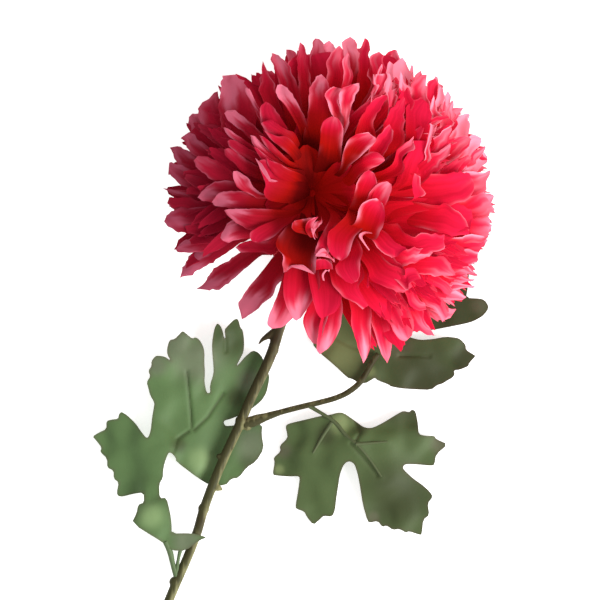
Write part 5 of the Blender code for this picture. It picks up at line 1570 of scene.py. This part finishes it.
def leaf_material(settings):
    """Chrysanthemum leaf: a thin, matt, slightly woven-looking blade, rubbed pale and brown in places, with
    painted shade in its creases and some darker patches.
    """
    material, tree = new_material("matt_leaf_blade")
    spot = add_node(tree, "TexCoord").outputs["Object"]
    marks = add_node(tree, "Attribute", {"attribute_name": "tints"})
    pale, deep, dusky = add_node(tree, "SeparateXYZ", inputs={0: marks.outputs["Vector"]}).outputs
    rim = add_node(tree, "Attribute", {"attribute_name": "rim"})
    tone = add_node(tree, "Attribute", {"attribute_name": "tone"})
    blotches = add_node(tree, "TexNoise", inputs={
        "Vector": spot, "Scale": 1 / LEAF_BLOTCH, "Detail": 4.0, "Roughness": 0.6})
    grain = add_node(tree, "TexNoise", inputs={
        "Vector": spot, "Scale": 1 / LEAF_GRAIN, "Detail": 2.0, "Roughness": 0.5})

    # Each tint has an uneven border
    uneven = add_node(tree, "Math", {"operation": "MULTIPLY_ADD", "use_clamp": True}, {
        0: blotches.outputs[0], 1: 0.3, 2: -0.15})
    colour = (*settings.green, 1.0)
    for weight, tint in ((deep, settings.deep), (pale, settings.pale), (dusky, settings.dusky)):
        broken = add_node(tree, "Math", {"operation": "ADD"}, {0: weight, 1: uneven.outputs[0]})
        part = add_node(tree, "MapRange", {"interpolation_type": "SMOOTHSTEP"}, {
            0: broken.outputs[0], 1: 0.1, 2: 1.0, 3: 0.0, 4: 0.9})
        mixed = add_node(tree, "Mix", {"data_type": "RGBA"}, {
            FACTOR: part.outputs[0], FIRST: colour, SECOND: (*tint, 1.0)})
        colour = mixed.outputs[MIXED]

    # The edges are worn brown, and an older leaf is more olive
    edge = add_node(tree, "Math", {"operation": "MULTIPLY"}, {0: rim.outputs["Fac"], 1: 0.45})
    worn = add_node(tree, "Mix", {"data_type": "RGBA"}, {
        FACTOR: edge.outputs[0], FIRST: colour, SECOND: (*settings.worn, 1.0)})
    cloudy = add_node(tree, "MapRange", inputs={0: blotches.outputs[0], 1: 0.3, 2: 0.7, 3: 0.92, 4: 1.08})
    clouded = add_node(tree, "VectorMath", {"operation": "SCALE"}, {
        0: worn.outputs[MIXED], "Scale": cloudy.outputs[0]})
    aged = add_node(tree, "Mix", {"data_type": "RGBA", "blend_type": "MULTIPLY"}, {
        FACTOR: tone.outputs["Fac"], FIRST: clouded.outputs[0], SECOND: (*settings.aged, 1.0)})
    bump = add_node(tree, "Bump", inputs={
        "Strength": 0.35, "Distance": 0.15 * MM, "Height": grain.outputs[0]})
    shader = add_node(tree, "BsdfPrincipled", inputs={
        "Base Color": aged.outputs[MIXED], "Roughness": 0.62, "Specular IOR Level": 0.3,
        "Normal": bump.outputs[0]})
    add_node(tree, "OutputMaterial", inputs={0: shader.outputs[0]})
    return material


def stem_material(settings):
    """Chrysanthemum stem: a satin, ridged green skin that turns woody and brown near the bloom, with a
    painted highlight along one side.
    """
    material, tree = new_material("ridged_stem_skin")
    spot = add_node(tree, "TexCoord").outputs["Object"]
    side = add_node(tree, "Attribute", {"attribute_name": "side"})
    width, length = STEM_STREAK
    lengthwise = add_node(tree, "Mapping", inputs={
        0: spot, "Rotation": (0, 0, STEM_TURN), "Scale": (1 / width, 1 / length, 1 / width)})
    streaks = add_node(tree, "TexNoise", inputs={
        "Vector": lengthwise.outputs[0], "Scale": 1.0, "Detail": 3.0, "Roughness": 0.55})
    patches = add_node(tree, "TexNoise", inputs={"Vector": spot, "Scale": 1 / BARK_PATCH, "Detail": 3.0})

    # The ridges are pale, and more so along one side of the stem, which is a painted highlight where the key
    # light falls
    streaks_and_painted_highlight = add_node(tree, "Math", {"operation": "MULTIPLY_ADD"}, {
        0: side.outputs["Fac"], 1: 0.25, 2: streaks.outputs[0]})
    ridges = add_node(tree, "MapRange", inputs={0: streaks_and_painted_highlight.outputs[0], 1: 0.52, 2: 0.82})
    skin = add_node(tree, "Mix", {"data_type": "RGBA"}, {
        FACTOR: ridges.outputs[0], FIRST: (*settings.olive, 1.0), SECOND: (*settings.pale, 1.0)})

    # Bark spreads in patches, and all over towards the bloom
    _, along, _ = add_node(tree, "SeparateXYZ", inputs={0: spot}).outputs
    high = add_node(tree, "MapRange", {"interpolation_type": "SMOOTHSTEP"}, {
        0: along, 1: BROWN_FROM_Y, 2: BROWN_TO_Y, 3: 0.0, 4: 0.5})
    patchy = add_node(tree, "MapRange", inputs={0: patches.outputs[0], 1: 0.5, 2: 0.7, 3: 0.0, 4: 0.5})
    woody = add_node(tree, "Math", {"operation": "ADD", "use_clamp": True}, {
        0: high.outputs[0], 1: patchy.outputs[0]})
    colour = add_node(tree, "Mix", {"data_type": "RGBA"}, {
        FACTOR: woody.outputs[0], FIRST: skin.outputs[MIXED], SECOND: (*settings.brown, 1.0)})
    bump = add_node(tree, "Bump", inputs={
        "Strength": 0.6, "Distance": 0.3 * MM, "Height": streaks.outputs[0]})
    shader = add_node(tree, "BsdfPrincipled", inputs={
        "Base Color": colour.outputs[MIXED], "Roughness": 0.55, "Specular IOR Level": 0.15,
        "Normal": bump.outputs[0]})
    add_node(tree, "OutputMaterial", inputs={0: shader.outputs[0]})
    return material


def knot(x_px, y_px, z, radius):
    """A rounded knot on a stem."""
    deselect_all()
    bpy.ops.mesh.primitive_uv_sphere_add(segments=24, ring_count=12, radius=radius * MM,
                                         location=place(x_px, y_px, z * MM))
    bpy.ops.object.transform_apply(location=True, rotation=True, scale=True)
    return bpy.context.object


def grow_skin(thing, grain, skin, path):
    """Melts the joined tubes and knots of a stem into one smooth skin, marked with the side of its path for
    the painted highlight along one side.
    """
    melt = thing.modifiers.new("Skin", "REMESH")
    melt.mode = "VOXEL"
    melt.voxel_size = grain
    ease = thing.modifiers.new("Ease", "SMOOTH")
    ease.iterations = SKIN_PASSES
    apply_all(thing)
    bpy.ops.object.shade_smooth()
    offset = line_offset(*to_view(read_points(thing.data)), [row[:2] for row in path])
    mark(thing.data, "side", np.clip(-offset * PIXEL / (path[-1][3] * MM), -1, 1))
    thing.data.materials.clear()
    thing.data.materials.append(skin)


class CHRYSANTHEMUM_OT_leaves(bpy.types.Operator):
    """Cut, lay and colour the four leaves, and grow the calyx"""
    bl_idname = "chrysanthemum.leaves"
    bl_label = "Leaves"

    def execute(self, context):
        settings = context.scene.leaf_settings
        material = leaf_material(settings)
        for leaf in (LEFT_LEAF, LOWER_LEAF, UPPER_LEAF, BEHIND_LEAF):
            settle(model_leaf(leaf, settings, material), "leaves", leaf.node)
        settle(model_calyx(settings, material), "leaves", "calyx")
        return {"FINISHED"}


class CHRYSANTHEMUM_OT_stems(bpy.types.Operator):
    """Grow the stem with its spur and knots, and the side branch"""
    bl_idname = "chrysanthemum.stems"
    bl_label = "Stems"

    def execute(self, context):
        settings = context.scene.stem_settings
        skin = stem_material(settings)
        parts = [tube(STEM_PATH, STEM_SIDES), tube(SPUR_PATH, SPUR_SIDES)]
        stem = join("stem_skin", [*parts, *(knot(*row) for row in STEM_KNOTS)])
        grow_skin(stem, settings.grain, skin, STEM_PATH)
        settle(stem, "stems", "stem")
        branch = join("branch_skin", [tube(BRANCH_PATH, BRANCH_SIDES)])
        grow_skin(branch, settings.grain, skin, BRANCH_PATH)
        settle(branch, "stems", "side_branch")
        return {"FINISHED"}


class CHRYSANTHEMUM_OT_stage(bpy.types.Operator):
    """Lay the plain floor and set the soft light and the camera"""
    bl_idname = "chrysanthemum.stage"
    bl_label = "Stage"

    def execute(self, context):
        settings = context.scene.stage_settings
        deselect_all()
        bpy.ops.mesh.primitive_plane_add(size=settings.floor_size)
        floor = context.object
        floor.name = "floor"
        material, tree = new_material("plain_floor")
        shader = add_node(tree, "BsdfPrincipled", inputs={
            "Base Color": (*settings.floor_colour, 1.0), "Roughness": 0.9, "Specular IOR Level": 0.2,
            "Emission Color": WHITE, "Emission Strength": settings.floor_glow})
        add_node(tree, "OutputMaterial", inputs={0: shader.outputs[0]})
        floor.data.materials.append(material)

        middle = place(VIEW_PX / 2, VIEW_PX / 2, settings.distance)
        bpy.ops.object.camera_add(location=middle, rotation=(0, 0, 0))
        camera = context.object
        camera.data.sensor_width = SENSOR_MM
        camera.data.lens = SENSOR_MM * (settings.distance - FRAMED_Z) / (VIEW_PX * PIXEL)
        camera.data.clip_end = FAR_END
        context.scene.camera = camera

        aim = place(*BLOOM_AXIS_PX, AIM_Z)
        bpy.ops.object.light_add(type="AREA", location=aim + Vector(KEY_PLACE))
        key = context.object
        key.data.shape = "DISK"
        key.data.size = KEY_SIZE
        key.data.energy = settings.key_power
        key.rotation_euler = (aim - key.location).to_track_quat("-Z", "Y").to_euler()
        key.visible_camera = False

        world = bpy.data.worlds.new("soft_white")
        world.use_nodes = True
        sky = world.node_tree.nodes["Background"]
        sky.inputs["Color"].default_value = WHITE
        sky.inputs["Strength"].default_value = settings.sky_strength
        context.scene.world = world
        context.scene.view_settings.view_transform = "Standard"
        return {"FINISHED"}


class CHRYSANTHEMUM_PT_panel(bpy.types.Panel):
    """The steps that dress the flower"""
    bl_label = "Chrysanthemum"
    bl_idname = "CHRYSANTHEMUM_PT_panel"
    bl_space_type = "VIEW_3D"
    bl_region_type = "UI"
    bl_category = "Chrysanthemum"

    def draw(self, context):
        for step in STEPS:
            self.layout.operator(step.bl_idname)


SETTINGS = {"petal_settings": PetalSettings, "leaf_settings": LeafSettings,
            "stem_settings": StemSettings, "stage_settings": StageSettings}
STEPS = (CHRYSANTHEMUM_OT_stage, CHRYSANTHEMUM_OT_petals, CHRYSANTHEMUM_OT_leaves, CHRYSANTHEMUM_OT_stems)


def register():
    for kind in (*SETTINGS.values(), *STEPS, CHRYSANTHEMUM_PT_panel):
        bpy.utils.register_class(kind)
    for name, kind in SETTINGS.items():
        setattr(bpy.types.Scene, name, PointerProperty(type=kind))


def unregister():
    for name in SETTINGS:
        delattr(bpy.types.Scene, name)
    for kind in (CHRYSANTHEMUM_PT_panel, *reversed(STEPS), *reversed(SETTINGS.values())):
        bpy.utils.unregister_class(kind)


def main():
    """Registers the add-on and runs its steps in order."""
    register()
    for step in STEPS:
        module, name = step.bl_idname.split(".")
        getattr(getattr(bpy.ops, module), name)()


if __name__ == "__main__":
    main()
